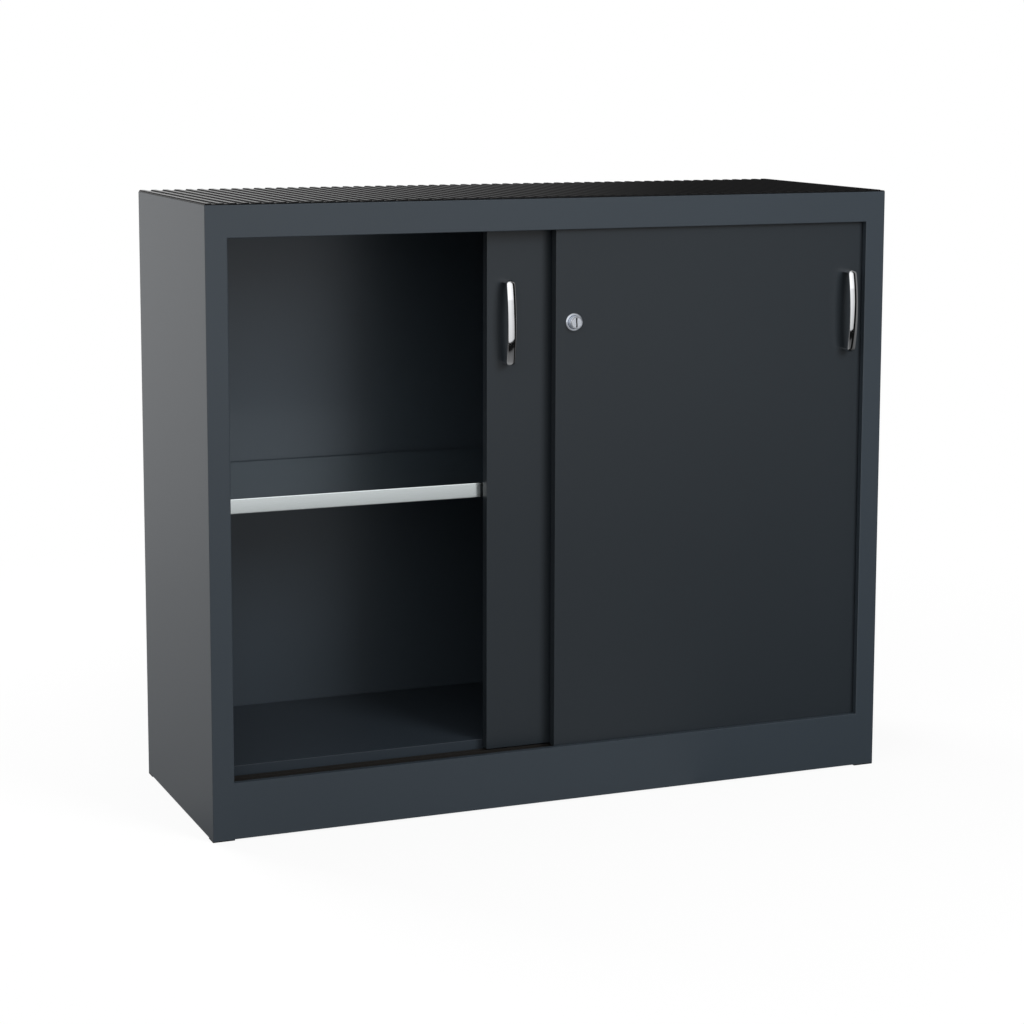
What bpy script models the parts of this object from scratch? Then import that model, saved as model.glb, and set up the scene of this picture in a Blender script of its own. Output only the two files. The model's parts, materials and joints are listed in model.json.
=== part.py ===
"""A steel cabinet with two sliding doors, one shelf and a ribbed rubber top.

Metres, +Z up. The front faces -Y. The origin lies on the floor under the middle of the whole object.
Every place in the script is measured from the middle of the front plane at floor level, with x to the
right, y towards the back and z up. The empty named cabinet carries that frame.
"""

import math

import bmesh
import bpy
from mathutils import Matrix, Vector

MM = 0.001

# Body
WIDTH = 1200 * MM
DEPTH = 420 * MM
BODY_HEIGHT = 1008 * MM
SHEET = 0.8 * MM
BEND = 1.6 * MM
SEAT = 0.3 * MM
STILE_WIDTH = 36 * MM
FASCIA_HEIGHT = 51.4 * MM
PLINTH_HEIGHT = 92.4 * MM
FRAME_RETURN = 11 * MM
REAR_FLANGE = 18 * MM
BASE_FLANGE = 28 * MM
TOP_FLANGE = 25 * MM
TRAY_FLANGE = 12 * MM

# Corner glides
GLIDE_HEIGHT = 2 * MM
GLIDE_LENGTH = 25 * MM
GLIDE_PAD = 1.7 * MM
GLIDE_STEM_RADIUS = 4 * MM
GLIDE_HEAD_RADIUS = 5.5 * MM
GLIDE_HEAD = 2.5 * MM

# Rubber mat
MAT_BASE = 1.2 * MM
MAT_INSET = 1 * MM
RIB_PITCH = 20 * MM
RIB_WIDTH = 11 * MM
RIB_CREST = 7 * MM
RIB_HEIGHT = 1.5 * MM

# Shelf, its uprights and clips
SHELF_HEIGHT = 537.6 * MM
SHELF_LIP = 24.4 * MM
SHELF_RETURN = 10 * MM
SHELF_BEHIND_DOORS = 6 * MM
SHELF_BACK_GAP = 5 * MM
SHELF_SIDE_GAP = 2.5 * MM
UPRIGHT_WIDTH = 30 * MM
UPRIGHT_DEPTH = 8 * MM
UPRIGHT_BEHIND_DOORS = 14 * MM
UPRIGHT_BEFORE_BACK = 24 * MM
UPRIGHT_HEADROOM = 48 * MM
SLOT_PITCH = 32 * MM
SLOT_HEIGHT = 7 * MM
SLOT_WIDTH = 13 * MM
SLOT_MARGIN = 60 * MM
CLIP_SHEET = 1.5 * MM
CLIP_WIDTH = 11 * MM
CLIP_LEDGE = 15 * MM
CLIP_HOOK = 4.5 * MM

# Floor
FLOOR_HEIGHT = 103 * MM
FLOOR_BEHIND_DOORS = 3 * MM

# Doors
DOOR_OVERLAP = 16 * MM
DOOR_THICKNESS = 18 * MM
DOOR_SETBACK = 12.5 * MM
DOOR_GAP = 8 * MM
DOOR_BEND = 1.4 * MM
DOOR_LIP = 14 * MM
DOOR_BEHIND_STILE = 4 * MM
DOOR_BEHIND_FASCIA = 6.4 * MM
DOOR_BEHIND_PLINTH = 2.4 * MM
LEFT_HANDLE_TO_RIGHT_DOOR = 70 * MM

# Running gear
HANGER_INSET = 70 * MM
HANGER_WIDTH = 44 * MM
HANGER_SHEET = 2 * MM
HANGER_LEG = 42 * MM
HANGER_JOGGLE = 5 * MM
ROLLER_TREAD_RADIUS = 10.5 * MM
ROLLER_FLANGE_RADIUS = 13 * MM
ROLLER_WIDTH = 7 * MM
ROLLER_GROOVE = 3 * MM
ROLLER_GROOVE_SLOPE = 0.6 * MM
ROLLER_RIM = 0.5 * MM
AXLE_RADIUS = 3 * MM
AXLE_PLAY = 0.2 * MM
AXLE_HEAD_RADIUS = 5 * MM
AXLE_HEAD = 1.5 * MM
ROLLER_SIDE_PLAY = 0.4 * MM
TRACK_SHEET = 1.5 * MM
TRACK_UNDER_DOOR_TOP = 1.5 * MM
TRACK_CHANNEL = 8 * MM
BEAD_HEIGHT = 8 * MM
BEAD_WIDTH = 2.4 * MM
BEAD_OFFSET = 0.5 * MM
WEB_CLEARANCE = 2.5 * MM
STOP_LENGTH = 16 * MM
STOP_HEIGHT = 22 * MM

# Bottom guides
GUIDE_RIB = 2 * MM
GUIDE_RIB_HEIGHT = 7.7 * MM
GUIDE_CHANNEL = 8 * MM
GUIDE_BASE = 2 * MM
GUIDE_PLAY = 1 * MM
GUIDE_INSET = 60 * MM
GUIDE_LENGTH = 36 * MM
GUIDE_SHOULDER = 4 * MM
GUIDE_DOOR_CLEARANCE = 2 * MM

# Handles
HANDLE_DROP = 157.8 * MM
HANDLE_INSET = 33.5 * MM
HANDLE_LENGTH = 142 * MM
HANDLE_WIDTH = 15 * MM
HANDLE_REACH = 30 * MM
HANDLE_END_REACH = 22 * MM
HANDLE_BAR = 6.5 * MM
HANDLE_LEG = 8.5 * MM
HANDLE_CORNER = 7 * MM
HANDLE_END_WIDTH = 9 * MM
HANDLE_ROUND = 2.2 * MM
SCREW_RADIUS = 2 * MM
SCREW_PLAY = 0.3 * MM
SCREW_HEAD_RADIUS = 4 * MM
SCREW_HEAD = 2.2 * MM
SCREW_BITE = 8 * MM

# Push lock
LOCK_DROP = 159.4 * MM
LOCK_INSET = 32.3 * MM
LOCK_COLLAR_RADIUS = 14.7 * MM
LOCK_COLLAR = 2 * MM
LOCK_BODY_RADIUS = 12.5 * MM
LOCK_NUT_RADIUS = 17 * MM
LOCK_NUT = 4 * MM
LOCK_LIP = 6 * MM
LOCK_RIM = 0.6 * MM
BARREL_RADIUS = 10.8 * MM
BARREL_REACH = 9.4 * MM
BARREL_RING = 1 * MM
BARREL_RING_LENGTH = 2 * MM
BARREL_NOSE_RADIUS = 8 * MM
BARREL_PLAY = 0.3 * MM
CORE_RADIUS = 9 * MM
CORE_LENGTH = 14 * MM
CORE_PROUD = 0.3 * MM
KEY_SLOT_WIDTH = 2.2 * MM
KEY_SLOT_HEIGHT = 16 * MM
KEY_SLOT_DEPTH = 5 * MM

# Steps of round shapes
ROUND_STEPS = 28
ROLLER_STEPS = 24
SMALL_STEPS = 12
HALF_ROUND_STEPS = 12
BEAD_STEPS = 8
BOW_STEPS = 4
CORNER_STEPS = 3
FOLD_STEPS = 2
NUT_SIDES = 6
SMOOTH_ANGLE = math.radians(35)

# Places that follow from the sizes
HALF = WIDTH / 2
BASE = GLIDE_HEIGHT
TOP = BASE + BODY_HEIGHT
INSIDE_SIDE = HALF - SHEET - SEAT
OPENING_HALF = HALF - STILE_WIDTH
FASCIA_BOTTOM = TOP - FASCIA_HEIGHT
PLINTH_TOP = BASE + PLINTH_HEIGHT
RIGHT_DOOR_FRONT = DOOR_SETBACK
LEFT_DOOR_FRONT = DOOR_SETBACK + DOOR_THICKNESS + DOOR_GAP
DOORS_REAR = LEFT_DOOR_FRONT + DOOR_THICKNESS
DOOR_TOP = FASCIA_BOTTOM + DOOR_BEHIND_FASCIA
DOOR_BOTTOM = PLINTH_TOP - DOOR_BEHIND_PLINTH
DOOR_WIDTH = OPENING_HALF + DOOR_BEHIND_STILE + DOOR_OVERLAP / 2
RIGHT_DOOR_LEFT = -DOOR_OVERLAP / 2
LEFT_DOOR_CLOSED_LEFT = DOOR_OVERLAP / 2 - DOOR_WIDTH
LEFT_DOOR_LEFT = RIGHT_DOOR_LEFT - LEFT_HANDLE_TO_RIGHT_DOOR - HANDLE_WIDTH / 2 - HANDLE_INSET
HANDLE_Z = DOOR_TOP - HANDLE_DROP
LOCK_Z = DOOR_TOP - LOCK_DROP
BACK_OUTER = DEPTH - 2 * (SHEET + SEAT)
BACK_INNER = BACK_OUTER - SHEET
FLOOR_TOP = BASE + FLOOR_HEIGHT
FLOOR_FRONT = DOORS_REAR + FLOOR_BEHIND_DOORS
SHELF_TOP = BASE + SHELF_HEIGHT
SHELF_FRONT = DOORS_REAR + SHELF_BEHIND_DOORS
TRACK_TOP = TOP - SHEET - SEAT
TRACK_FOOT = DOOR_TOP + TRACK_UNDER_DOOR_TOP
BEAD_TOP = TRACK_FOOT + TRACK_SHEET + BEAD_HEIGHT
AXLE_Z = BEAD_TOP + SEAT + ROLLER_TREAD_RADIUS
LEDGE_TOP = DOOR_BOTTOM - GUIDE_DOOR_CLEARANCE - GUIDE_RIB_HEIGHT - GUIDE_BASE - SEAT
UPRIGHT_FACE = INSIDE_SIDE - UPRIGHT_DEPTH
GLIDE_HEAD_BOTTOM = BASE + SHEET + SEAT
HANDLE_OVERHANG = HANDLE_REACH - DOOR_SETBACK
FRONT_Y = (HANDLE_OVERHANG - DEPTH) / 2

# Finishes: colour, roughness, metallic
ANTHRACITE = ("anthracite_paint", (0.040, 0.048, 0.057), 0.38, 0.0)
DOOR_GREY = ("door_paint", (0.036, 0.041, 0.045), 0.36, 0.0)
GALVANISED = ("galvanised_steel", (0.55, 0.58, 0.60), 0.38, 0.9)
ZINC = ("zinc_plated_steel", (0.60, 0.61, 0.62), 0.35, 1.0)
ALUMINIUM = ("mill_aluminium", (0.68, 0.69, 0.70), 0.42, 1.0)
CHROME = ("chrome", (0.82, 0.83, 0.85), 0.07, 1.0)
NICKEL = ("satin_nickel", (0.62, 0.64, 0.68), 0.30, 1.0)
BLACK_PLASTIC = ("black_plastic", (0.012, 0.011, 0.010), 0.5, 0.0)
NYLON = ("white_nylon", (0.70, 0.69, 0.65), 0.45, 0.0)
RUBBER = ("black_rubber", (0.022, 0.023, 0.024), 0.62, 0.0)


def clear_scene():
    for obj in list(bpy.data.objects):
        bpy.data.objects.remove(obj)


def finish(spec):
    name, colour, roughness, metallic = spec
    made = bpy.data.materials.get(name)
    if made is None:
        made = bpy.data.materials.new(name)
        made.use_nodes = True
        shader = made.node_tree.nodes["Principled BSDF"]
        shader.inputs["Base Color"].default_value = (*colour, 1)
        shader.inputs["Roughness"].default_value = roughness
        shader.inputs["Metallic"].default_value = metallic
    return made


def body(name, pivot, parent=None):
    """An empty at a moving body's joint, or at the cabinet's own frame."""
    empty = bpy.data.objects.new(name, None)
    empty.empty_display_size = 0.05
    bpy.context.scene.collection.objects.link(empty)
    empty["pivot"] = tuple(pivot)
    empty.location = pivot
    if parent is not None:
        empty.parent = parent
        empty.location = Vector(pivot) - Vector(parent["pivot"])
    return empty


def piece(name, bm, spec, carrier, pivot=None):
    """The bmesh, given in the cabinet's frame, as an object carried by a body. Its origin is the pivot."""
    pivot = Vector(carrier["pivot"] if pivot is None else pivot)
    bm.transform(Matrix.Translation(-pivot))
    mesh = bpy.data.meshes.new(name)
    bm.to_mesh(mesh)
    bm.free()
    mesh.materials.append(finish(spec))
    obj = bpy.data.objects.new(name, mesh)
    bpy.context.scene.collection.objects.link(obj)
    obj.parent = carrier
    obj.location = pivot - Vector(carrier["pivot"])
    obj["pivot"] = tuple(pivot)
    return obj


def closed(bm):
    bmesh.ops.recalc_face_normals(bm, faces=bm.faces)
    return bm


def add_box(bm, low, high):
    low, high = Vector(low), Vector(high)
    size = high - low
    place = Matrix.Translation((low + high) / 2) @ Matrix.Diagonal((*size, 1))
    return bmesh.ops.create_cube(bm, size=1, matrix=place)["verts"]


def add_turned(bm, profile, centre, along, steps):
    """A solid of revolution. The profile is a closed line of (radius, distance along the axis) points."""
    turn = {"y": Matrix.Rotation(-math.pi / 2, 4, "X"), "z": Matrix.Identity(4)}[along]
    place = Matrix.Translation(centre) @ turn
    rings = []
    for radius, distance in profile:
        if radius == 0:
            rings.append([bm.verts.new(place @ Vector((0, 0, distance)))])
            continue
        ring = []
        for step in range(steps):
            angle = math.tau * step / steps
            spot = Vector((radius * math.cos(angle), radius * math.sin(angle), distance))
            ring.append(bm.verts.new(place @ spot))
        rings.append(ring)
    for ring, other in zip(rings, rings[1:] + rings[:1]):
        for step in range(steps):
            after = (step + 1) % steps
            corners = [ring[step % len(ring)], ring[after % len(ring)]]
            corners += [other[after % len(other)], other[step % len(other)]]
            corners = list(dict.fromkeys(corners))
            if len(corners) > 2:
                bm.faces.new(corners)


def disc(radius, start, end):
    return [(0, start), (radius, start), (radius, end), (0, end)]


def extruded(outline, axis, start, end):
    """A closed outline, given in the two other axes in x, y, z order, drawn out along an axis."""
    bm = bmesh.new()
    at = {
        "x": lambda a, b: (start, a, b),
        "y": lambda a, b: (a, start, b),
        "z": lambda a, b: (a, b, start),
    }[axis]
    face = bm.faces.new([bm.verts.new(at(a, b)) for a, b in outline])
    drawn = bmesh.ops.extrude_face_region(bm, geom=[face])["geom"]
    step = Vector([end - start if name == axis else 0 for name in "xyz"])
    bmesh.ops.translate(bm, verts=[g for g in drawn if isinstance(g, bmesh.types.BMVert)], vec=step)
    return closed(bm)


def add_modifier(obj, kind, name, **settings):
    modifier = obj.modifiers.new(name, kind)
    for key, value in settings.items():
        setattr(modifier, key, value)
    return modifier


def bend_and_thicken(obj, thickness, radius):
    """Rounds the folds of an open surface, then gives it its wall on the side away from its normals."""
    if radius:
        add_modifier(obj, "BEVEL", "folds", width=radius, segments=FOLD_STEPS, limit_method="ANGLE")
    add_modifier(obj, "SOLIDIFY", "wall", thickness=thickness, offset=-1, use_even_offset=True)
    return obj


def round_edges(obj, radius, segments=2):
    add_modifier(obj, "BEVEL", "rounding", width=radius, segments=segments, limit_method="ANGLE")
    return obj


def helper(name, owner, bm):
    """A hidden solid that a Boolean of its owner uses."""
    mesh = bpy.data.meshes.new(name)
    bm.to_mesh(mesh)
    bm.free()
    obj = bpy.data.objects.new(name, mesh)
    bpy.context.scene.collection.objects.link(obj)
    pivot = Vector(owner["pivot"])
    mesh.transform(Matrix.Translation(-pivot))
    obj.parent = owner
    obj.hide_render = True
    obj.display_type = "WIRE"
    return obj


def cut(obj, bm):
    cutter = helper(obj.name + "_cutter", obj, closed(bm))
    add_modifier(obj, "BOOLEAN", "cuts", operation="DIFFERENCE", object=cutter)
    return obj


def unite(obj, bm):
    adder = helper(obj.name + "_joined", obj, closed(bm))
    add_modifier(obj, "BOOLEAN", "joins", operation="UNION", object=adder)
    return obj


def boxes(*ranges):
    bm = bmesh.new()
    for low, high in ranges:
        add_box(bm, low, high)
    return bm


def mirrored(low, high):
    """The same box on the other side of the middle."""
    return (-high[0], low[1], low[2]), (-low[0], high[1], high[2])


def folded_strip(name, path, axis, start, end, spec, carrier, thickness=SHEET, radius=BEND):
    """Sheet folded along a path of points in the two other axes. Its wall lies to the right of the path."""
    bm = bmesh.new()
    at = {"x": lambda along, a, b: (along, a, b), "z": lambda along, a, b: (a, b, along)}[axis]
    rows = [[bm.verts.new(at(along, a, b)) for a, b in path] for along in (start, end)]
    for k in range(len(path) - 1):
        bm.faces.new((rows[1][k], rows[1][k + 1], rows[0][k + 1], rows[0][k]))
    return bend_and_thicken(piece(name, bm, spec, carrier), thickness, radius)


def tray(name, low, high, open_side, spec, carrier, lip=0, radius=BEND):
    """A folded tray that fills the box. It is open on one side, where its edge can turn in as a lip."""
    bm = bmesh.new()
    add_box(bm, low, high)
    facing = Vector(open_side)
    mouth = max(bm.faces, key=lambda face: face.normal.dot(facing))
    if lip:
        bmesh.ops.inset_individual(bm, faces=[mouth], thickness=lip, use_even_offset=True)
    bmesh.ops.delete(bm, geom=[mouth], context="FACES_ONLY")
    return bend_and_thicken(piece(name, bm, spec, carrier), SHEET, radius)


def corner_name(side, rear):
    return ("rear" if rear else "front") + ("_left" if side < 0 else "_right")


# Carcass


def glide_place(side, rear):
    """The middle of a corner glide, seen from above."""
    y = DEPTH - GLIDE_LENGTH / 2 - BEND if rear else GLIDE_LENGTH / 2 + BEND
    return side * (HALF - BASE_FLANGE / 2 - SHEET), y


def side_panel(side, carrier):
    path = [
        (-OPENING_HALF, FRAME_RETURN),
        (-OPENING_HALF, 0),
        (-HALF, 0),
        (-HALF, DEPTH),
        (-HALF + REAR_FLANGE, DEPTH),
    ]
    if side > 0:
        path = [(-x, y) for x, y in reversed(path)]
    name = ("left" if side < 0 else "right") + "_side_panel"
    obj = folded_strip(name, path, "z", BASE, TOP, ANTHRACITE, carrier)
    end = BEND + SHEET
    flange = (-HALF + SHEET / 2, end, BASE), (-HALF + BASE_FLANGE, DEPTH - end, BASE + SHEET)
    if side > 0:
        flange = mirrored(*flange)
    unite(obj, boxes(flange))
    holes = bmesh.new()
    for rear in (False, True):
        x, y = glide_place(side, rear)
        stem = disc(GLIDE_STEM_RADIUS + SEAT, BASE - SHEET, BASE + 2 * SHEET)
        add_turned(holes, stem, (x, y, 0), "z", SMALL_STEPS)
    notch = (-OPENING_HALF - 2 * SHEET, BEND, TOP - SHEET - SEAT)
    notch = notch, (-OPENING_HALF + SHEET, FRAME_RETURN + SHEET, TOP + SHEET)
    if side > 0:
        notch = mirrored(*notch)
    add_box(holes, *notch)
    return cut(obj, holes)


def top_panel(carrier):
    rear = DEPTH - SHEET - SEAT
    path = [
        (FRAME_RETURN, FASCIA_BOTTOM),
        (0, FASCIA_BOTTOM),
        (0, TOP),
        (rear, TOP),
        (rear, TOP - TOP_FLANGE),
    ]
    obj = folded_strip("top_panel", path, "x", -INSIDE_SIDE, INSIDE_SIDE, ANTHRACITE, carrier)
    flange_rear = BACK_OUTER - TRAY_FLANGE - BEND
    flange = (INSIDE_SIDE - SHEET, FRAME_RETURN + BEND, TOP - REAR_FLANGE)
    flange = flange, (INSIDE_SIDE, flange_rear, TOP - SHEET / 2)
    unite(obj, boxes(flange, mirrored(*flange)))
    above_return = FASCIA_BOTTOM + SHEET + BEND
    beside_stile = [
        (-SHEET, FASCIA_BOTTOM - SHEET),
        (FRAME_RETURN + SEAT, FASCIA_BOTTOM - SHEET),
        (FRAME_RETURN + SEAT, above_return),
        (BEND, above_return),
        (BEND, TOP + SHEET),
        (-SHEET, TOP + SHEET),
    ]
    corners = extruded(beside_stile, "x", OPENING_HALF - SEAT, HALF)
    bmesh.ops.mirror(corners, geom=corners.verts[:] + corners.edges[:] + corners.faces[:], axis="X")
    return cut(obj, corners)


def back_panel(carrier):
    low = -INSIDE_SIDE, BACK_OUTER - TRAY_FLANGE, GLIDE_HEAD_BOTTOM + GLIDE_HEAD + SEAT
    high = INSIDE_SIDE, BACK_OUTER, TOP - SHEET - SEAT
    return tray("back_panel", low, high, (0, -1, 0), ANTHRACITE, carrier)


def floor_panel(carrier):
    half = INSIDE_SIDE - SHEET - SEAT
    low = -half, FLOOR_FRONT, LEDGE_TOP - TRAY_FLANGE
    high = half, BACK_INNER - SEAT, FLOOR_TOP
    return tray("floor_panel", low, high, (0, 0, -1), ANTHRACITE, carrier)


def plinth_rail(carrier):
    ledge_rear = FLOOR_FRONT - SEAT
    path = [
        (2 * FRAME_RETURN, BASE),
        (0, BASE),
        (0, PLINTH_TOP),
        (FRAME_RETURN, PLINTH_TOP),
        (FRAME_RETURN, LEDGE_TOP),
        (ledge_rear, LEDGE_TOP),
        (ledge_rear, LEDGE_TOP - TRAY_FLANGE),
    ]
    half = OPENING_HALF - SEAT
    return folded_strip("plinth_rail", path, "x", -half, half, ANTHRACITE, carrier)


def lane_centre(front):
    """The middle plane of a door, given its front."""
    return front + DOOR_THICKNESS / 2


def web_front(lane):
    return lane + BEAD_OFFSET + ROLLER_WIDTH / 2 + WEB_CLEARANCE


def top_track(carrier):
    """One profile with an upstanding bead for each lane, on a foot that hangs from a web."""
    lanes = [lane_centre(RIGHT_DOOR_FRONT), lane_centre(LEFT_DOOR_FRONT)]
    front = FRAME_RETURN + DOOR_GAP / 2
    rear = web_front(lanes[-1]) + 2 * TRACK_SHEET
    under = TRACK_TOP - TRACK_SHEET
    foot_top = TRACK_FOOT + TRACK_SHEET
    radius = BEAD_WIDTH / 2
    outline = [(front, TRACK_TOP), (rear, TRACK_TOP), (rear, under)]
    for lane in reversed(lanes):
        web = web_front(lane)
        bead = lane + BEAD_OFFSET
        outline += [(web + TRACK_SHEET, under), (web + TRACK_SHEET, TRACK_FOOT)]
        outline += [(bead - radius, TRACK_FOOT)]
        for step in range(BEAD_STEPS + 1):
            angle = math.pi * (1 - step / BEAD_STEPS)
            crown = BEAD_TOP - radius + radius * math.sin(angle)
            outline.append((bead + radius * math.cos(angle), crown))
        outline += [(bead + radius, foot_top), (web, foot_top), (web, under)]
    outline.append((front, under))
    half = INSIDE_SIDE - 2 * (SHEET + SEAT)
    return piece("top_track", extruded(outline, "x", -half, half), ALUMINIUM, carrier)


def bottom_track(carrier):
    """A flat base with two ribs for each lane."""
    base = LEDGE_TOP + SEAT
    floor = base + GUIDE_BASE
    crest = floor + GUIDE_RIB_HEIGHT
    front = FRAME_RETURN + BEND
    rear = FLOOR_FRONT - SEAT - BEND
    outline = [(front, floor), (front, base), (rear, base), (rear, floor)]
    for lane in (lane_centre(LEFT_DOOR_FRONT), lane_centre(RIGHT_DOOR_FRONT)):
        for inner in (lane + GUIDE_CHANNEL / 2, lane - GUIDE_CHANNEL / 2 - GUIDE_RIB):
            outer = inner + GUIDE_RIB
            outline += [(outer, floor), (outer, crest), (inner, crest), (inner, floor)]
    half = OPENING_HALF - SHEET - SEAT
    return piece("bottom_track", extruded(outline, "x", -half, half), BLACK_PLASTIC, carrier)


def rubber_mat(carrier):
    """A sheet with ribs from front to back, at a fixed pitch from the middle."""
    low = TOP + SEAT
    face = low + MAT_BASE
    crest = face + RIB_HEIGHT
    half = HALF - MAT_INSET
    count = int(WIDTH / RIB_PITCH)
    outline = [(half, low), (-half, low), (-half, face)]
    for k in range(count):
        centre = (k - (count - 1) / 2) * RIB_PITCH
        outline += [(centre - RIB_WIDTH / 2, face), (centre - RIB_CREST / 2, crest)]
        outline += [(centre + RIB_CREST / 2, crest), (centre + RIB_WIDTH / 2, face)]
    outline.append((half, face))
    bm = extruded(outline, "y", MAT_INSET, DEPTH - MAT_INSET)
    return piece("rubber_mat", bm, RUBBER, carrier)


def shelf(carrier):
    half = UPRIGHT_FACE - SHELF_SIDE_GAP
    low = -half, SHELF_FRONT, SHELF_TOP - SHELF_LIP
    high = half, BACK_INNER - SHELF_BACK_GAP, SHELF_TOP
    return tray("shelf", low, high, (0, 0, -1), GALVANISED, carrier, lip=SHELF_RETURN)


def upright_front(rear):
    """The front edge of a front or a rear slotted upright."""
    if rear:
        return BACK_INNER - UPRIGHT_BEFORE_BACK - UPRIGHT_WIDTH
    return DOORS_REAR + UPRIGHT_BEHIND_DOORS


def clip_slots():
    """The top edges of the two slots that a clip hooks into, under the shelf's lip."""
    first = FLOOR_TOP + SEAT + SLOT_MARGIN
    ledge = SHELF_TOP - SHELF_LIP - SEAT - CLIP_SHEET
    lower = first + SLOT_PITCH * math.floor((ledge - first - SLOT_HEIGHT) / SLOT_PITCH)
    return lower - SLOT_PITCH, lower


def slotted_upright(side, rear, carrier):
    """A channel on the side panel, with a column of slots at the shelf pitch."""
    bottom = FLOOR_TOP + SEAT
    top = TOP - UPRIGHT_HEADROOM
    y = upright_front(rear)
    margin = (UPRIGHT_WIDTH - SLOT_WIDTH) / 2
    across = [
        (INSIDE_SIDE, y),
        (UPRIGHT_FACE, y),
        (UPRIGHT_FACE, y + margin),
        (UPRIGHT_FACE, y + UPRIGHT_WIDTH - margin),
        (UPRIGHT_FACE, y + UPRIGHT_WIDTH),
        (INSIDE_SIDE, y + UPRIGHT_WIDTH),
    ]
    levels = [bottom]
    count = int((top - bottom - 2 * SLOT_MARGIN) / SLOT_PITCH) + 1
    for k in range(count):
        foot = bottom + SLOT_MARGIN + k * SLOT_PITCH
        levels += [foot, foot + SLOT_HEIGHT]
    levels.append(top)
    bm = bmesh.new()
    grid = [[bm.verts.new((side * x, y, z)) for x, y in across] for z in levels]
    for row in range(len(levels) - 1):
        for column in range(len(across) - 1):
            if column == 2 and row % 2:
                continue
            corners = [grid[row][column], grid[row + 1][column]]
            corners += [grid[row + 1][column + 1], grid[row][column + 1]]
            bm.faces.new(corners if side > 0 else corners[::-1])
    obj = piece(corner_name(side, rear) + "_upright", bm, ANTHRACITE, carrier)
    return bend_and_thicken(obj, SHEET, BEND)


def shelf_clip(side, rear, carrier):
    """A bent clip: two hooks through the slots, a leg down the upright and a ledge under the shelf."""
    face = UPRIGHT_FACE - SEAT
    ledge_top = SHELF_TOP - SHELF_LIP - SEAT
    slots = clip_slots()
    middle = upright_front(rear) + UPRIGHT_WIDTH / 2
    front, back = middle - CLIP_WIDTH / 2, middle + CLIP_WIDTH / 2
    leg_bottom = slots[0] - CLIP_SHEET
    outline = [(face - CLIP_SHEET, leg_bottom), (face, leg_bottom)]
    for foot in slots:
        low = foot + SEAT
        high = foot + SLOT_HEIGHT / 2
        tip = face + CLIP_HOOK
        outline += [(face, low), (tip, low), (tip, high), (face, high)]
    outline += [
        (face, ledge_top),
        (face - CLIP_LEDGE, ledge_top),
        (face - CLIP_LEDGE, ledge_top - CLIP_SHEET),
        (face - CLIP_SHEET, ledge_top - CLIP_SHEET),
    ]
    outline = [(side * x, z) for x, z in outline]
    name = corner_name(side, rear) + "_shelf_clip"
    return piece(name, extruded(outline, "y", front, back), ZINC, carrier)


def corner_glide(side, rear, carrier):
    """A pad under the base flange, held by a stem with a snap head above the flange."""
    x, y = glide_place(side, rear)
    left, right = sorted((side * HALF, side * OPENING_HALF))
    low = left, y - GLIDE_LENGTH / 2, 0
    high = right, y + GLIDE_LENGTH / 2, GLIDE_PAD
    obj = piece(corner_name(side, rear) + "_corner_glide", boxes((low, high)), BLACK_PLASTIC, carrier)
    head = GLIDE_HEAD_BOTTOM
    stem = [
        (0, GLIDE_PAD / 2),
        (GLIDE_STEM_RADIUS, GLIDE_PAD / 2),
        (GLIDE_STEM_RADIUS, head),
        (GLIDE_HEAD_RADIUS, head),
        (GLIDE_STEM_RADIUS, head + GLIDE_HEAD),
        (0, head + GLIDE_HEAD),
    ]
    bm = bmesh.new()
    add_turned(bm, stem, (x, y, 0), "z", SMALL_STEPS)
    return unite(obj, bm)


def door_stop(name, front, face, facing, carrier):
    """A rubber buffer astride the bead, with its face towards the hanger that it stops."""
    lane = lane_centre(front)
    bead = lane + BEAD_OFFSET
    half_bead = BEAD_WIDTH / 2 + SEAT
    foot = TRACK_FOOT + TRACK_SHEET + SEAT
    crown = BEAD_TOP + SEAT
    y0 = front + SHEET + SEAT
    y1 = web_front(lane) - SEAT
    top = foot + STOP_HEIGHT
    outline = [
        (y0, foot),
        (bead - half_bead, foot),
        (bead - half_bead, crown),
        (bead + half_bead, crown),
        (bead + half_bead, foot),
        (y1, foot),
        (y1, top),
        (y0, top),
    ]
    ends = sorted((face, face + facing * STOP_LENGTH))
    return piece(name, extruded(outline, "x", *ends), RUBBER, carrier)


def hanger_offsets():
    """The hangers' middles, measured from the door's left edge."""
    return HANGER_INSET, DOOR_WIDTH - HANGER_INSET


def guide_offsets():
    """The guides' middles, measured from the door's left edge."""
    return GUIDE_INSET, DOOR_WIDTH - GUIDE_INSET


def door_stops(carrier):
    left_edge = hanger_offsets()[0] - HANGER_WIDTH / 2
    right_edge = hanger_offsets()[1] + HANGER_WIDTH / 2
    closed_left = LEFT_DOOR_CLOSED_LEFT + left_edge - SEAT
    for name, front, face, facing in (
        ("front_lane_left_stop", RIGHT_DOOR_FRONT, closed_left, -1),
        ("rear_lane_left_stop", LEFT_DOOR_FRONT, closed_left, -1),
        ("front_lane_right_stop", RIGHT_DOOR_FRONT, RIGHT_DOOR_LEFT + right_edge + SEAT, 1),
        ("rear_lane_right_stop", LEFT_DOOR_FRONT, LEFT_DOOR_LEFT + right_edge + SEAT, 1),
    ):
        door_stop(name, front, face, facing, carrier)


# Doors


def quarter(start, end):
    """A quarter of an ellipse, which leaves its start along the first axis and ends along the second."""
    points = []
    for step in range(1, CORNER_STEPS):
        angle = math.pi / 2 * step / CORNER_STEPS
        across = start[0] + (end[0] - start[0]) * math.sin(angle)
        along = end[1] + (start[1] - end[1]) * math.cos(angle)
        points.append((across, along))
    return [start, *points, end]


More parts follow.
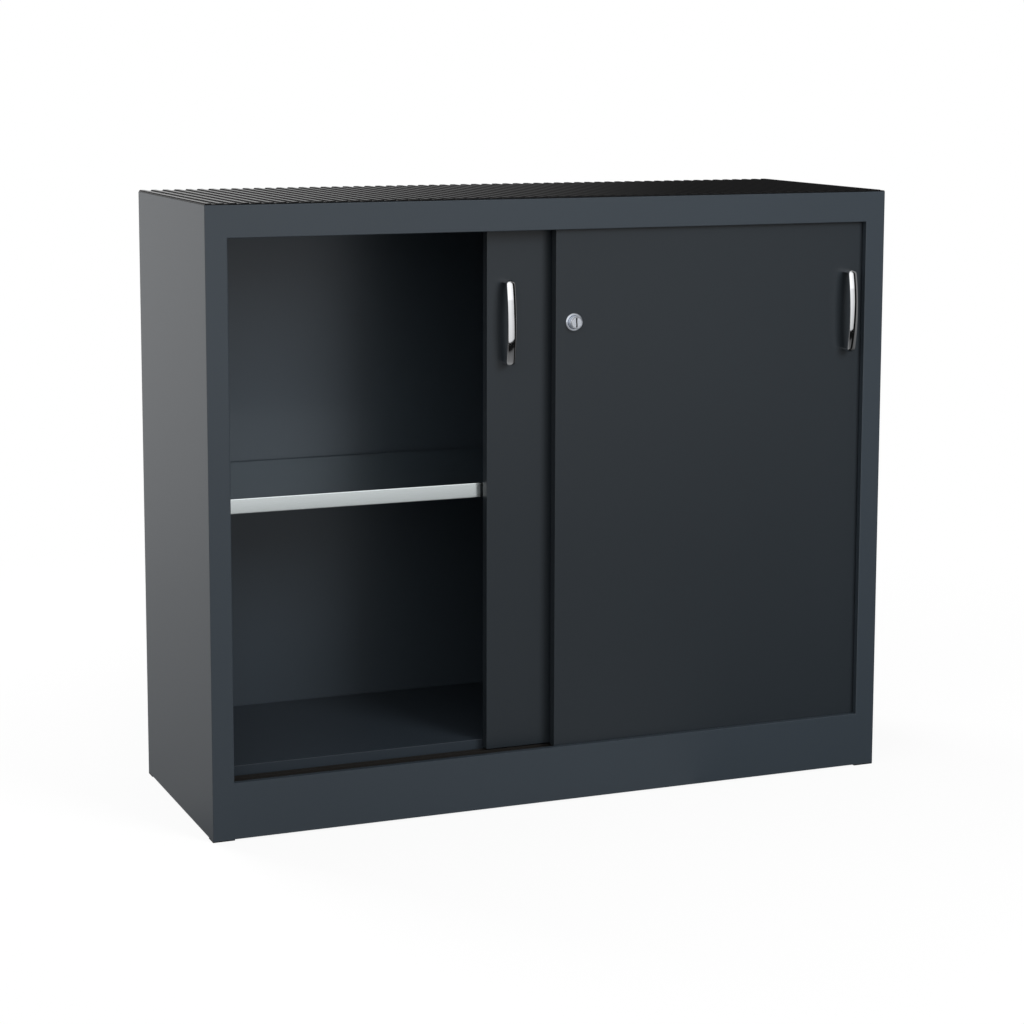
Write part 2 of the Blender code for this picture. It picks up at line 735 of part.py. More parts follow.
def handle_outline(front):
    """The bow handle from the side, with its upper half mirrored to the lower half."""
    half = HANDLE_LENGTH / 2
    shoulder = half - HANDLE_CORNER
    heel = half - HANDLE_LEG
    armpit = heel - HANDLE_CORNER / 2
    rise = HANDLE_REACH - HANDLE_END_REACH
    sweep = (shoulder**2 + rise**2) / (2 * rise)

    def bow(z):
        return HANDLE_REACH - sweep + math.sqrt(sweep**2 - z**2)

    shares = [k / BOW_STEPS for k in range(1, BOW_STEPS)]
    toe = [(SEAT, heel), (SEAT, half)]
    outer = quarter((HANDLE_END_REACH - HANDLE_CORNER, half), (bow(shoulder), shoulder))
    outer += [(bow(shoulder * (1 - share)), shoulder * (1 - share)) for share in shares]
    inner = [(bow(armpit * share) - HANDLE_BAR, armpit * share) for share in shares]
    inner_corner = bow(armpit) - HANDLE_BAR
    inner += quarter((inner_corner - HANDLE_CORNER / 2, heel), (inner_corner, armpit))[::-1]
    upper = toe + outer
    lower = [(out, -z) for out, z in reversed(upper)]
    under = [(out, -z) for out, z in reversed(inner)]
    points = upper + [(HANDLE_REACH, 0)] + lower + under + [(HANDLE_REACH - HANDLE_BAR, 0)] + inner
    return [(front - out, HANDLE_Z + z) for out, z in points]


def handle(prefix, x, front, carrier):
    """The bow, with its ends rounded off to both sides."""
    bm = extruded(handle_outline(front), "x", x - HANDLE_WIDTH / 2, x + HANDLE_WIDTH / 2)
    for vertex in bm.verts:
        past = abs(vertex.co.z - HANDLE_Z) - (HANDLE_LENGTH / 2 - HANDLE_LEG)
        share = min(max(past / HANDLE_LEG, 0), 1)
        loss = (1 - HANDLE_END_WIDTH / HANDLE_WIDTH) * (1 - math.sqrt(1 - share**2))
        vertex.co.x = x + (vertex.co.x - x) * (1 - loss)
    obj = round_edges(piece(prefix + "_handle", bm, CHROME, carrier), HANDLE_ROUND)
    holes = bmesh.new()
    for z in screw_heights():
        hole = disc(SCREW_RADIUS + SCREW_PLAY / 2, -SCREW_BITE - SEAT, SHEET)
        add_turned(holes, hole, (x, front - SEAT, z), "y", SMALL_STEPS)
    return cut(obj, holes)


def screw_heights():
    reach = (HANDLE_LENGTH - HANDLE_LEG) / 2
    return HANDLE_Z - reach, HANDLE_Z + reach


def handle_screws(prefix, x, front, carrier):
    for label, z in zip(("lower", "upper"), screw_heights()):
        head = SHEET + SEAT
        profile = [
            (0, -SCREW_BITE),
            (SCREW_RADIUS, -SCREW_BITE),
            (SCREW_RADIUS, head),
            (SCREW_HEAD_RADIUS, head),
            (SCREW_HEAD_RADIUS, head + SCREW_HEAD / 2),
            (SCREW_HEAD_RADIUS / 2, head + SCREW_HEAD),
            (0, head + SCREW_HEAD),
        ]
        bm = bmesh.new()
        add_turned(bm, profile, (x, front, z), "y", SMALL_STEPS)
        piece(f"{prefix}_handle_{label}_screw", closed(bm), ZINC, carrier)


def hanger_head(front):
    """The front face of the hangers' heads, which stand clear of the rollers."""
    roller_front = lane_centre(front) + BEAD_OFFSET - ROLLER_WIDTH / 2
    return roller_front - 2 * ROLLER_SIDE_PLAY - HANGER_SHEET


def hanger(name, x, front, carrier):
    """A joggled plate: its leg lies on the inside of the door's skin, its head carries the axle."""
    bottom = DOOR_TOP - HANGER_LEG
    joggle_top = DOOR_TOP - 2 * HANGER_JOGGLE
    joggle_bottom = joggle_top - HANGER_JOGGLE
    half = HANGER_WIDTH / 2
    outline = [(x - half, bottom), (x + half, bottom), (x + half, joggle_top + HANGER_JOGGLE)]
    neck = ROLLER_FLANGE_RADIUS
    for step in range(HALF_ROUND_STEPS + 1):
        angle = math.pi * step / HALF_ROUND_STEPS
        outline.append((x + neck * math.cos(angle), AXLE_Z + neck * math.sin(angle)))
    outline.append((x - half, joggle_top + HANGER_JOGGLE))
    leg_y = front + SHEET + SEAT
    head_y = hanger_head(front)
    bm = bmesh.new()
    bm.faces.new([bm.verts.new((a, leg_y, b)) for a, b in outline])
    for level in (joggle_bottom, joggle_top):
        geometry = bm.verts[:] + bm.edges[:] + bm.faces[:]
        bmesh.ops.bisect_plane(bm, geom=geometry, plane_co=(0, 0, level), plane_no=(0, 0, 1))
    for vertex in bm.verts:
        share = (vertex.co.z - joggle_bottom) / HANGER_JOGGLE
        vertex.co.y = leg_y + (head_y - leg_y) * min(max(share, 0), 1)
    obj = bend_and_thicken(piece(name, bm, ZINC, carrier), HANGER_SHEET, 0)
    hole = bmesh.new()
    bore = disc(AXLE_RADIUS + SEAT, -HANGER_SHEET, 2 * HANGER_SHEET)
    add_turned(hole, bore, (x, head_y, AXLE_Z), "y", SMALL_STEPS)
    return cut(obj, hole)


def axle(name, x, front, carrier):
    """A riveted pin: a head in front of the hanger, and a collar behind the roller."""
    head_y = hanger_head(front)
    roller_rear = lane_centre(front) + BEAD_OFFSET + ROLLER_WIDTH / 2
    collar = roller_rear + ROLLER_SIDE_PLAY
    profile = [
        (0, head_y - SEAT - AXLE_HEAD),
        (AXLE_HEAD_RADIUS - AXLE_HEAD / 2, head_y - SEAT - AXLE_HEAD),
        (AXLE_HEAD_RADIUS, head_y - SEAT),
        (AXLE_RADIUS, head_y - SEAT),
        (AXLE_RADIUS, collar),
        (AXLE_HEAD_RADIUS, collar),
        (AXLE_HEAD_RADIUS - AXLE_HEAD / 2, collar + AXLE_HEAD),
        (0, collar + AXLE_HEAD),
    ]
    bm = bmesh.new()
    add_turned(bm, profile, (x, 0, AXLE_Z), "y", SMALL_STEPS)
    return piece(name, closed(bm), ZINC, carrier)


def roller(name, x, front, carrier):
    """A grooved roller, whose tread runs on the bead. Its origin lies on its axle."""
    middle = lane_centre(front) + BEAD_OFFSET
    half = ROLLER_WIDTH / 2
    groove = ROLLER_GROOVE / 2
    bore = AXLE_RADIUS + AXLE_PLAY
    profile = [
        (bore, -half),
        (ROLLER_FLANGE_RADIUS - ROLLER_RIM, -half),
        (ROLLER_FLANGE_RADIUS, -half + ROLLER_RIM),
        (ROLLER_FLANGE_RADIUS, -groove - ROLLER_GROOVE_SLOPE),
        (ROLLER_TREAD_RADIUS, -groove),
        (ROLLER_TREAD_RADIUS, groove),
        (ROLLER_FLANGE_RADIUS, groove + ROLLER_GROOVE_SLOPE),
        (ROLLER_FLANGE_RADIUS, half - ROLLER_RIM),
        (ROLLER_FLANGE_RADIUS - ROLLER_RIM, half),
        (bore, half),
    ]
    bm = bmesh.new()
    add_turned(bm, profile, (x, middle, AXLE_Z), "y", ROLLER_STEPS)
    return piece(name, closed(bm), NYLON, carrier, (x, middle, AXLE_Z))


def guide(name, x, front, carrier):
    """A plastic shoe: a shoulder clipped inside the door's bottom, and a tongue in the track's channel."""
    lane = lane_centre(front)
    half = GUIDE_LENGTH / 2
    tongue = GUIDE_CHANNEL / 2 - GUIDE_PLAY
    floor = LEDGE_TOP + SEAT + GUIDE_BASE
    shoulder = DOOR_BOTTOM + SHEET + SEAT
    outline = [
        (lane - tongue, floor + GUIDE_PLAY),
        (lane + tongue, floor + GUIDE_PLAY),
        (lane + tongue, shoulder),
        (lane + 2 * tongue, shoulder),
        (lane + 2 * tongue, shoulder + GUIDE_SHOULDER),
        (lane - 2 * tongue, shoulder + GUIDE_SHOULDER),
        (lane - 2 * tongue, shoulder),
        (lane - tongue, shoulder),
    ]
    bm = extruded(outline, "x", x - half, x + half)
    return round_edges(piece(name, bm, BLACK_PLASTIC, carrier), SEAT, 1)


def door_panel(prefix, left, front, handle_x, carrier, lock_x=None):
    """The pan: skin, returns and rear lip, with slots for hangers and guides and holes for screws."""
    low = left, front, DOOR_BOTTOM
    high = left + DOOR_WIDTH, front + DOOR_THICKNESS, DOOR_TOP
    obj = tray(
        prefix + "_panel", low, high, (0, 1, 0), DOOR_GREY, carrier, lip=DOOR_LIP, radius=DOOR_BEND
    )
    slots = bmesh.new()
    lane = lane_centre(front)
    for offset in hanger_offsets():
        x = left + offset
        half = HANGER_WIDTH / 2 + SEAT
        head_y = hanger_head(front)
        slot_low = x - half, head_y - SEAT, DOOR_TOP - 2 * SHEET
        add_box(slots, slot_low, (x + half, head_y + HANGER_SHEET + SEAT, DOOR_TOP + SHEET))
    tongue = GUIDE_CHANNEL / 2 - GUIDE_PLAY + SEAT
    for offset in guide_offsets():
        x = left + offset
        half = GUIDE_LENGTH / 2 + SEAT
        slot_low = x - half, lane - tongue, DOOR_BOTTOM - SHEET
        add_box(slots, slot_low, (x + half, lane + tongue, DOOR_BOTTOM + 2 * SHEET))
    for z in screw_heights():
        hole = disc(SCREW_RADIUS + SCREW_PLAY, -SHEET, 2 * SHEET)
        add_turned(slots, hole, (handle_x, front, z), "y", SMALL_STEPS)
    if lock_x is not None:
        hole = disc(LOCK_BODY_RADIUS + SEAT, -SHEET, 2 * SHEET)
        add_turned(slots, hole, (lock_x, front, LOCK_Z), "y", ROUND_STEPS)
    return cut(obj, slots)


def back_plate(prefix, left, front, carrier, lock_x=None):
    """A flat plate behind the rear lip of the pan."""
    edge = SHEET + 2 * SEAT
    rear = front + DOOR_THICKNESS - SHEET - SEAT
    low = left + edge, rear - SHEET, DOOR_BOTTOM + edge
    high = left + DOOR_WIDTH - edge, rear, DOOR_TOP - edge
    obj = piece(prefix + "_back_plate", boxes((low, high)), DOOR_GREY, carrier)
    if lock_x is None:
        return obj
    hole = bmesh.new()
    ring = disc(LOCK_BODY_RADIUS + SEAT, -2 * SHEET, SHEET)
    add_turned(hole, ring, (lock_x, rear, LOCK_Z), "y", ROUND_STEPS)
    return cut(obj, hole)


def door(prefix, left, front, handle_offset, cabinet, lock_offset=None):
    """A whole door with its running gear. Its carrier lies in the lane's middle at the axles' height."""
    pivot = left + DOOR_WIDTH / 2, lane_centre(front), AXLE_Z
    carrier = body(prefix, pivot, cabinet)
    handle_x = left + handle_offset
    lock_x = None if lock_offset is None else left + lock_offset
    door_panel(prefix, left, front, handle_x, carrier, lock_x)
    back_plate(prefix, left, front, carrier, lock_x)
    handle(prefix, handle_x, front, carrier)
    handle_screws(prefix, handle_x, front, carrier)
    for label, offset in zip(("left", "right"), hanger_offsets()):
        x = left + offset
        hanger(f"{prefix}_{label}_hanger", x, front, carrier)
        axle(f"{prefix}_{label}_axle", x, front, carrier)
        roller(f"{prefix}_{label}_roller", x, front, carrier)
    for label, offset in zip(("left", "right"), guide_offsets()):
        guide(f"{prefix}_{label}_guide", left + offset, front, carrier)
    return carrier


# Push lock


def push_lock(left, front, carrier):
    """A collared housing held by a ring nut. The barrel slides in it and carries the turning core."""
    centre = left + LOCK_INSET, 0, LOCK_Z
    collar = front - SEAT - LOCK_COLLAR
    lip_rear = front + LOCK_LIP
    rear = front + DOOR_THICKNESS - 2 * SHEET - 2 * SEAT
    mouth = BARREL_RADIUS + BARREL_PLAY
    bore = BARREL_RADIUS + BARREL_RING + BARREL_PLAY
    housing = [
        (mouth, collar),
        (LOCK_COLLAR_RADIUS - LOCK_RIM, collar),
        (LOCK_COLLAR_RADIUS, collar + LOCK_RIM),
        (LOCK_COLLAR_RADIUS, front - SEAT),
        (LOCK_BODY_RADIUS, front - SEAT),
        (LOCK_BODY_RADIUS, rear),
        (bore, rear),
        (bore, lip_rear),
        (mouth, lip_rear),
    ]
    bm = bmesh.new()
    add_turned(bm, housing, centre, "y", ROUND_STEPS)
    piece("lock_housing", closed(bm), NICKEL, carrier)

    nut_front = front + SHEET + SEAT
    nut_rear = nut_front + LOCK_NUT
    bm = bmesh.new()
    add_turned(bm, disc(LOCK_NUT_RADIUS, nut_front, nut_rear), centre, "y", NUT_SIDES)
    hole = bmesh.new()
    bore_of_nut = disc(LOCK_BODY_RADIUS + SEAT, nut_front - SHEET, nut_rear + SHEET)
    add_turned(hole, bore_of_nut, centre, "y", ROUND_STEPS)
    cut(piece("lock_nut", closed(bm), ZINC, carrier), hole)

    face = collar - BARREL_REACH
    ring = lip_rear + SEAT
    tip = front + DOOR_THICKNESS - SEAT
    well = face + CORE_LENGTH + SEAT
    socket = CORE_RADIUS + SEAT
    barrel = [
        (0, well),
        (socket, well),
        (socket, face),
        (BARREL_RADIUS - LOCK_RIM, face),
        (BARREL_RADIUS, face + LOCK_RIM),
        (BARREL_RADIUS, ring),
        (BARREL_RADIUS + BARREL_RING, ring),
        (BARREL_RADIUS + BARREL_RING, ring + BARREL_RING_LENGTH),
        (BARREL_NOSE_RADIUS, ring + BARREL_RING_LENGTH),
        (BARREL_NOSE_RADIUS, tip - LOCK_RIM),
        (BARREL_NOSE_RADIUS - LOCK_RIM, tip),
        (0, tip),
    ]
    sleeve = body("lock_push", (centre[0], face, centre[2]), carrier)
    bm = bmesh.new()
    add_turned(bm, barrel, centre, "y", ROUND_STEPS)
    piece("lock_barrel", closed(bm), NICKEL, sleeve)

    plug = body("lock_turn", (centre[0], face, centre[2]), sleeve)
    core_face = face - CORE_PROUD
    core = [
        (0, core_face),
        (CORE_RADIUS - LOCK_RIM / 2, core_face),
        (CORE_RADIUS, core_face + LOCK_RIM / 2),
        (CORE_RADIUS, face + CORE_LENGTH),
        (0, face + CORE_LENGTH),
    ]
    bm = bmesh.new()
    add_turned(bm, core, centre, "y", ROUND_STEPS)
    obj = piece("lock_core", closed(bm), NICKEL, plug)
    half, tall = KEY_SLOT_WIDTH / 2, KEY_SLOT_HEIGHT / 2
    slot_low = centre[0] - half, core_face - SHEET, centre[2] - tall
    slot_high = centre[0] + half, core_face + KEY_SLOT_DEPTH, centre[2] + tall
    cut(obj, boxes((slot_low, slot_high)))


def shade(obj):
    """Round and folded pieces are shaded smooth, with their creases kept."""
    obj.data.shade_smooth()
    obj.data.set_sharp_from_angle(angle=SMOOTH_ANGLE)


def main():
    clear_scene()
    cabinet = body("cabinet", (0, 0, 0))
    cabinet.location = (0, FRONT_Y, 0)

    side_panel(-1, cabinet)
    side_panel(1, cabinet)
    top_panel(cabinet)
    back_panel(cabinet)
    floor_panel(cabinet)
    plinth_rail(cabinet)
    top_track(cabinet)
    bottom_track(cabinet)
    rubber_mat(cabinet)
    shelf(cabinet)
    for side in (-1, 1):
        for rear in (False, True):
            slotted_upright(side, rear, cabinet)
            shelf_clip(side, rear, cabinet)
            corner_glide(side, rear, cabinet)
    door_stops(cabinet)

    door("left_door", LEFT_DOOR_LEFT, LEFT_DOOR_FRONT, HANDLE_INSET, cabinet)
    right = door(
        "right_door", RIGHT_DOOR_LEFT, RIGHT_DOOR_FRONT, DOOR_WIDTH - HANDLE_INSET, cabinet, LOCK_INSET
    )
    push_lock(RIGHT_DOOR_LEFT, RIGHT_DOOR_FRONT, right)
    for obj in bpy.data.objects:
        if obj.type == "MESH" and not obj.hide_render:
            shade(obj)


main()
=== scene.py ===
"""A steel cabinet with two sliding doors, a push lock, bow handles, an inner shelf and a ribbed rubber top.

Metres, +Z up, with the front facing -Y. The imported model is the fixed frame, and every piece here is dressed
on it: finishes on its own solids, and finer pieces where the eye rests.
"""

import json
import math

import bmesh
import bpy
from mathutils import Matrix, Vector


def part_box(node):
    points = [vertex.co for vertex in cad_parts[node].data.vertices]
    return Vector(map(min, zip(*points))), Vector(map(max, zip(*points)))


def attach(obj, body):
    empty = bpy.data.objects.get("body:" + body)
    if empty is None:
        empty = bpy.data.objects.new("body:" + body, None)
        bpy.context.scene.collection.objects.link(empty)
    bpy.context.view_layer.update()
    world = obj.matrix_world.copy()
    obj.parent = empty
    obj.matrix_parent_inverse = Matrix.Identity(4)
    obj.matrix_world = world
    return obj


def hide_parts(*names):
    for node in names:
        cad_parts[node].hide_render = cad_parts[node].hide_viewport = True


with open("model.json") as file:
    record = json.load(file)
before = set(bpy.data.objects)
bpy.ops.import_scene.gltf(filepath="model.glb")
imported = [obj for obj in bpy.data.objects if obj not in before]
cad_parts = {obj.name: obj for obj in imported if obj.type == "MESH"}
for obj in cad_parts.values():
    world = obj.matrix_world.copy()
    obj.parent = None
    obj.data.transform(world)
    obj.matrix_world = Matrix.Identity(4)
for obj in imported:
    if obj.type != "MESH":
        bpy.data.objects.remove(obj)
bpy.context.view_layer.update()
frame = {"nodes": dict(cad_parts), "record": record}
solids = frame["nodes"]

MM = 0.001

# How near corners are merged, how flat two faces are when they become one, and the round on cut edges.
MERGE = 0.00001
FLAT = math.radians(0.5)
EASE = 0.25 * MM

# The body's front face.
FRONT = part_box("left_side_panel")[0].y

# The point from which the studio is judged when the floor mirrors it.
EYE = (0.25, -0.2, 0.8)


# Node building


def new_material(name):
    material = bpy.data.materials.new(name)
    material.use_nodes = True
    tree = material.node_tree
    tree.nodes.clear()
    output = tree.nodes.new("ShaderNodeOutputMaterial")
    shader = tree.nodes.new("ShaderNodeBsdfPrincipled")
    tree.links.new(shader.outputs["BSDF"], output.inputs["Surface"])
    return material, tree, shader


def add_node(tree, kind, settings=None, **values):
    """A node with its settings, and with values on its input sockets."""
    node = tree.nodes.new("ShaderNode" + kind)
    for key, value in (settings or {}).items():
        setattr(node, key, value)
    for key, value in values.items():
        node.inputs[key.replace("_", " ")].default_value = value
    return node


def link(tree, source, target):
    tree.links.new(source, target)


def new_group(name, inputs, outputs):
    """A shader node group with float, colour or vector sockets."""
    tree = bpy.data.node_groups.new(name, "ShaderNodeTree")
    for socket, kind, value in inputs:
        made = tree.interface.new_socket(socket, in_out="INPUT", socket_type="NodeSocket" + kind)
        if value is not None:
            made.default_value = value
    for socket, kind in outputs:
        tree.interface.new_socket(socket, in_out="OUTPUT", socket_type="NodeSocket" + kind)
    start = tree.nodes.new("NodeGroupInput")
    end = tree.nodes.new("NodeGroupOutput")
    return tree, start, end


def use_group(tree, group, **values):
    node = tree.nodes.new("ShaderNodeGroup")
    node.node_tree = group
    for key, value in values.items():
        node.inputs[key.replace("_", " ")].default_value = value
    return node


def object_place(tree, scale=(1, 1, 1)):
    """Object coordinates, stretched by a scale."""
    coordinates = tree.nodes.new("ShaderNodeTexCoord")
    mapping = tree.nodes.new("ShaderNodeMapping")
    mapping.inputs["Scale"].default_value = scale
    link(tree, coordinates.outputs["Object"], mapping.inputs["Vector"])
    return mapping.outputs["Vector"]


def math_node(tree, operation, *values):
    """A Math node whose inputs are numbers or sockets."""
    node = tree.nodes.new("ShaderNodeMath")
    node.operation = operation
    for index, value in enumerate(values):
        if isinstance(value, (int, float)):
            node.inputs[index].default_value = value
        else:
            link(tree, value, node.inputs[index])
    return node.outputs[0]


def product(tree, first, second):
    return math_node(tree, "MULTIPLY", first, second)


def brighter(tree, first, second):
    return math_node(tree, "MAXIMUM", first, second)


def degrees(tree, radians):
    return product(tree, radians, 180 / math.pi)


def soft_step(tree, value, start, end):
    """Runs smoothly from 0 at one value to 1 at another."""
    node = add_node(tree, "MapRange", {"interpolation_type": "SMOOTHSTEP"})
    node.inputs["From Min"].default_value = start
    node.inputs["From Max"].default_value = end
    link(tree, value, node.inputs["Value"])
    return node.outputs["Result"]


def spread_out(tree, value, start, end):
    """Runs evenly from 0 at one value to 1 at another."""
    node = add_node(tree, "MapRange")
    node.inputs["From Min"].default_value = start
    node.inputs["From Max"].default_value = end
    link(tree, value, node.inputs["Value"])
    return node.outputs["Result"]


def ramp_value(tree, factor, low, high):
    node = add_node(tree, "MapRange")
    node.inputs["To Min"].default_value = low
    node.inputs["To Max"].default_value = high
    link(tree, factor, node.inputs["Value"])
    return node.outputs["Result"]


def colour_mix(tree, factor):
    """A colour mix: its two colour inputs and its result."""
    mix = add_node(tree, "Mix", {"data_type": "RGBA"})
    link(tree, factor, mix.inputs["Factor"])
    first, second = (socket for socket in mix.inputs if socket.type == "RGBA")
    result = next(socket for socket in mix.outputs if socket.type == "RGBA")
    return first, second, result


def ramp_colour(tree, factor, low, high):
    """A colour between two, by a factor that varies over the surface."""
    first, second, result = colour_mix(tree, factor)
    first.default_value = (*low, 1)
    second.default_value = (*high, 1)
    return result


def add_bump(tree, shader, height, strength, distance):
    bump = add_node(tree, "Bump", Strength=strength, Distance=distance)
    link(tree, height, bump.inputs["Height"])
    link(tree, bump.outputs["Normal"], shader.inputs["Normal"])


# Shared effects


def coat_texture():
    """Powder coat: a soft orange peel with a fine grain on it, and a slow drift of tone."""
    tree, start, end = new_group(
        "powder_coat_texture",
        [("Place", "Vector", None), ("Peel Size", "Float", 600.0), ("Grain Size", "Float", 2600.0)],
        [("Height", "Float"), ("Tone", "Float"), ("Gloss", "Float")],
    )
    peel = add_node(tree, "TexNoise", Detail=1.0, Roughness=0.4)
    grain = add_node(tree, "TexNoise", Detail=2.0, Roughness=0.6)
    drift = add_node(tree, "TexNoise", Scale=3.2, Detail=2.0, Roughness=0.5)
    for noise in (peel, grain, drift):
        link(tree, start.outputs["Place"], noise.inputs["Vector"])
    link(tree, start.outputs["Peel Size"], peel.inputs["Scale"])
    link(tree, start.outputs["Grain Size"], grain.inputs["Scale"])
    grain_share = 0.35
    fine = product(tree, grain.outputs["Fac"], grain_share)
    link(tree, math_node(tree, "ADD", peel.outputs["Fac"], fine), end.inputs["Height"])
    link(tree, drift.outputs["Fac"], end.inputs["Tone"])
    link(tree, spread_out(tree, grain.outputs["Fac"], 0.3, 0.7), end.inputs["Gloss"])
    return tree


def rolled_texture():
    """Rolled or drawn metal: fine streaks along one axis, which the place's scale draws out."""
    tree, start, end = new_group(
        "rolled_metal_texture",
        [("Place", "Vector", None), ("Streak Size", "Float", 60.0)],
        [("Height", "Float"), ("Tone", "Float")],
    )
    streak = add_node(tree, "TexNoise", Detail=4.0, Roughness=0.65)
    link(tree, start.outputs["Place"], streak.inputs["Vector"])
    link(tree, start.outputs["Streak Size"], streak.inputs["Scale"])
    link(tree, streak.outputs["Fac"], end.inputs["Height"])
    link(tree, spread_out(tree, streak.outputs["Fac"], 0.25, 0.75), end.inputs["Tone"])
    return tree


POWDER = coat_texture()
ROLLED = rolled_texture()


# Finishes


def shades(colour, darker, lighter):
    return tuple(c * darker for c in colour), tuple(c * lighter for c in colour)


def powder_coat(name, colour, roughness, specular=0.5, tint=(1, 1, 1)):
    """A satin powder coat on steel, whose gloss may carry a tint."""
    material, tree, shader = new_material(name)
    texture = use_group(tree, POWDER, Peel_Size=520.0, Grain_Size=2400.0)
    link(tree, object_place(tree), texture.inputs["Place"])
    dark, light = shades(colour, 0.96, 1.05)
    link(tree, ramp_colour(tree, texture.outputs["Tone"], dark, light), shader.inputs["Base Color"])
    gloss = ramp_value(tree, texture.outputs["Gloss"], roughness - 0.03, roughness + 0.03)
    link(tree, gloss, shader.inputs["Roughness"])
    add_bump(tree, shader, texture.outputs["Height"], strength=0.35, distance=0.00004)
    shader.inputs["IOR"].default_value = 1.5
    shader.inputs["Specular IOR Level"].default_value = specular
    shader.inputs["Specular Tint"].default_value = (*tint, 1)
    return material


def metal(
    name,
    colour,
    roughness,
    streaks,
    scale=(1, 1, 1),
    depth=0.00002,
    strength=0.3,
    spread=0.07,
    gloss_spread=0.03,
):
    """A drawn, rolled or plated metal."""
    material, tree, shader = new_material(name)
    texture = use_group(tree, ROLLED, Streak_Size=streaks)
    link(tree, object_place(tree, scale), texture.inputs["Place"])
    dark, light = shades(colour, 1 - spread, 1)
    link(tree, ramp_colour(tree, texture.outputs["Tone"], dark, light), shader.inputs["Base Color"])
    gloss = ramp_value(tree, texture.outputs["Tone"], roughness - gloss_spread, roughness + gloss_spread)
    link(tree, gloss, shader.inputs["Roughness"])
    add_bump(tree, shader, texture.outputs["Height"], strength, depth)
    shader.inputs["Metallic"].default_value = 1.0
    return material


def moulded(name, colour, roughness, depth=0.00003, specular=0.5):
    """Moulded plastic or rubber with a fine grain."""
    material, tree, shader = new_material(name)
    texture = use_group(tree, POWDER, Peel_Size=720.0, Grain_Size=1800.0)
    link(tree, object_place(tree), texture.inputs["Place"])
    dark, light = shades(colour, 0.9, 1.1)
    link(tree, ramp_colour(tree, texture.outputs["Tone"], dark, light), shader.inputs["Base Color"])
    gloss = ramp_value(tree, texture.outputs["Gloss"], roughness - 0.05, roughness + 0.05)
    link(tree, gloss, shader.inputs["Roughness"])
    add_bump(tree, shader, texture.outputs["Height"], strength=0.4, distance=depth)
    shader.inputs["Specular IOR Level"].default_value = specular
    return material


def lock_face():
    """Satin nickel, with painted shade inside the keyway: behind the plug's face its walls turn near black."""
    material = metal("nickel_lock_face", (0.80, 0.84, 0.91), 0.28, 1500.0)
    tree = material.node_tree
    shader = next(node for node in tree.nodes if node.type == "BSDF_PRINCIPLED")
    plated = shader.inputs["Base Color"].links[0].from_socket
    axes = tree.nodes.new("ShaderNodeSeparateXYZ")
    link(tree, tree.nodes.new("ShaderNodeTexCoord").outputs["Object"], axes.inputs[0])
    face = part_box("lock_core")[0].y
    # Painted shade: in the keyway, behind the plug's face, the base colour fades to near black.
    inside = soft_step(tree, axes.outputs["Y"], face + 0.1 * MM, face + 0.35 * MM)
    outer, inner, result = colour_mix(tree, inside)
    link(tree, plated, outer)
    inner.default_value = (0.012, 0.012, 0.014, 1)
    link(tree, result, shader.inputs["Base Color"])
    return material


ANTHRACITE = (0.0265, 0.0355, 0.0450)
ROLLED_ALONG = (0.02, 1, 1)
GALVANISED = {"depth": 0.000001, "strength": 0.1, "spread": 0.02, "gloss_spread": 0.002}
POLISHED = {"depth": 0.000001, "strength": 0.05, "spread": 0.03, "gloss_spread": 0.01}

FINISHES = {
    "anthracite_paint": powder_coat("anthracite_coat", ANTHRACITE, 0.36),
    "door_paint": powder_coat("door_coat", (0.0145, 0.0190, 0.0235), 0.36, 0.44),
    "galvanised_steel": metal(
        "galvanised_sheet", (0.92, 0.99, 1.0), 0.19, 1500.0, ROLLED_ALONG, **GALVANISED
    ),
    "zinc_plated_steel": metal("zinc_plate", (0.60, 0.61, 0.62), 0.32, 300.0),
    "mill_aluminium": metal("mill_aluminium_track", (0.68, 0.69, 0.70), 0.38, 900.0, ROLLED_ALONG),
    "chrome": metal("polished_chrome", (0.82, 0.83, 0.85), 0.05, 900.0, **POLISHED),
    "satin_nickel": metal("satin_nickel_plate", (0.78, 0.82, 0.89), 0.36, 1500.0),
    "black_plastic": moulded("black_track_plastic", (0.012, 0.011, 0.010), 0.48, specular=0.35),
    "white_nylon": moulded("natural_nylon", (0.70, 0.69, 0.65), 0.42),
    "black_rubber": moulded("ribbed_rubber", (0.0065, 0.0065, 0.0068), 0.14, 0.000005, 0.06),
}
BACK_COAT = powder_coat("anthracite_back_coat", ANTHRACITE, 0.34, 0.66, (0.88, 0.93, 1.0))
# The floor tray has the same anthracite paint, but its base colour is darker: painted shade for its place deep
# inside, behind the plinth and the doors' track.
SHADED_FLOOR_COAT = powder_coat("anthracite_floor_painted_shade", (0.0220, 0.0290, 0.0370), 0.40, 0.3)
LOCK_FACE = lock_face()


def dress_solids():
    for row in frame["record"]["subparts"]:
        solid = solids[row["node"]]
        solid.data.materials.clear()
        solid.data.materials.append(FINISHES[row["material_slot"]])


# Piece building


def deselect():
    bpy.ops.object.select_all(action="DESELECT")


def activate(obj):
    deselect()
    obj.select_set(True)
    bpy.context.view_layer.objects.active = obj


def edit(obj):
    """Opens a piece in edit mode with nothing selected, and gives its mesh."""
    activate(obj)
    bpy.ops.object.mode_set(mode="EDIT")
    bpy.ops.mesh.select_mode(type="VERT")
    bpy.ops.mesh.select_all(action="DESELECT")
    return bmesh.from_edit_mesh(obj.data)


def leave_edit():
    bpy.ops.object.mode_set(mode="OBJECT")


def select_where(obj, kind, test):
    """Selects the vertices, edges or faces of the open mesh that pass a test."""
    bpy.ops.mesh.select_mode(type=kind)
    bpy.ops.mesh.select_all(action="DESELECT")
    bm = bmesh.from_edit_mesh(obj.data)
    for element in {"VERT": bm.verts, "EDGE": bm.edges, "FACE": bm.faces}[kind]:
        if test(element):
            element.select_set(True)
    bm.select_flush_mode()
    bmesh.update_edit_mesh(obj.data)


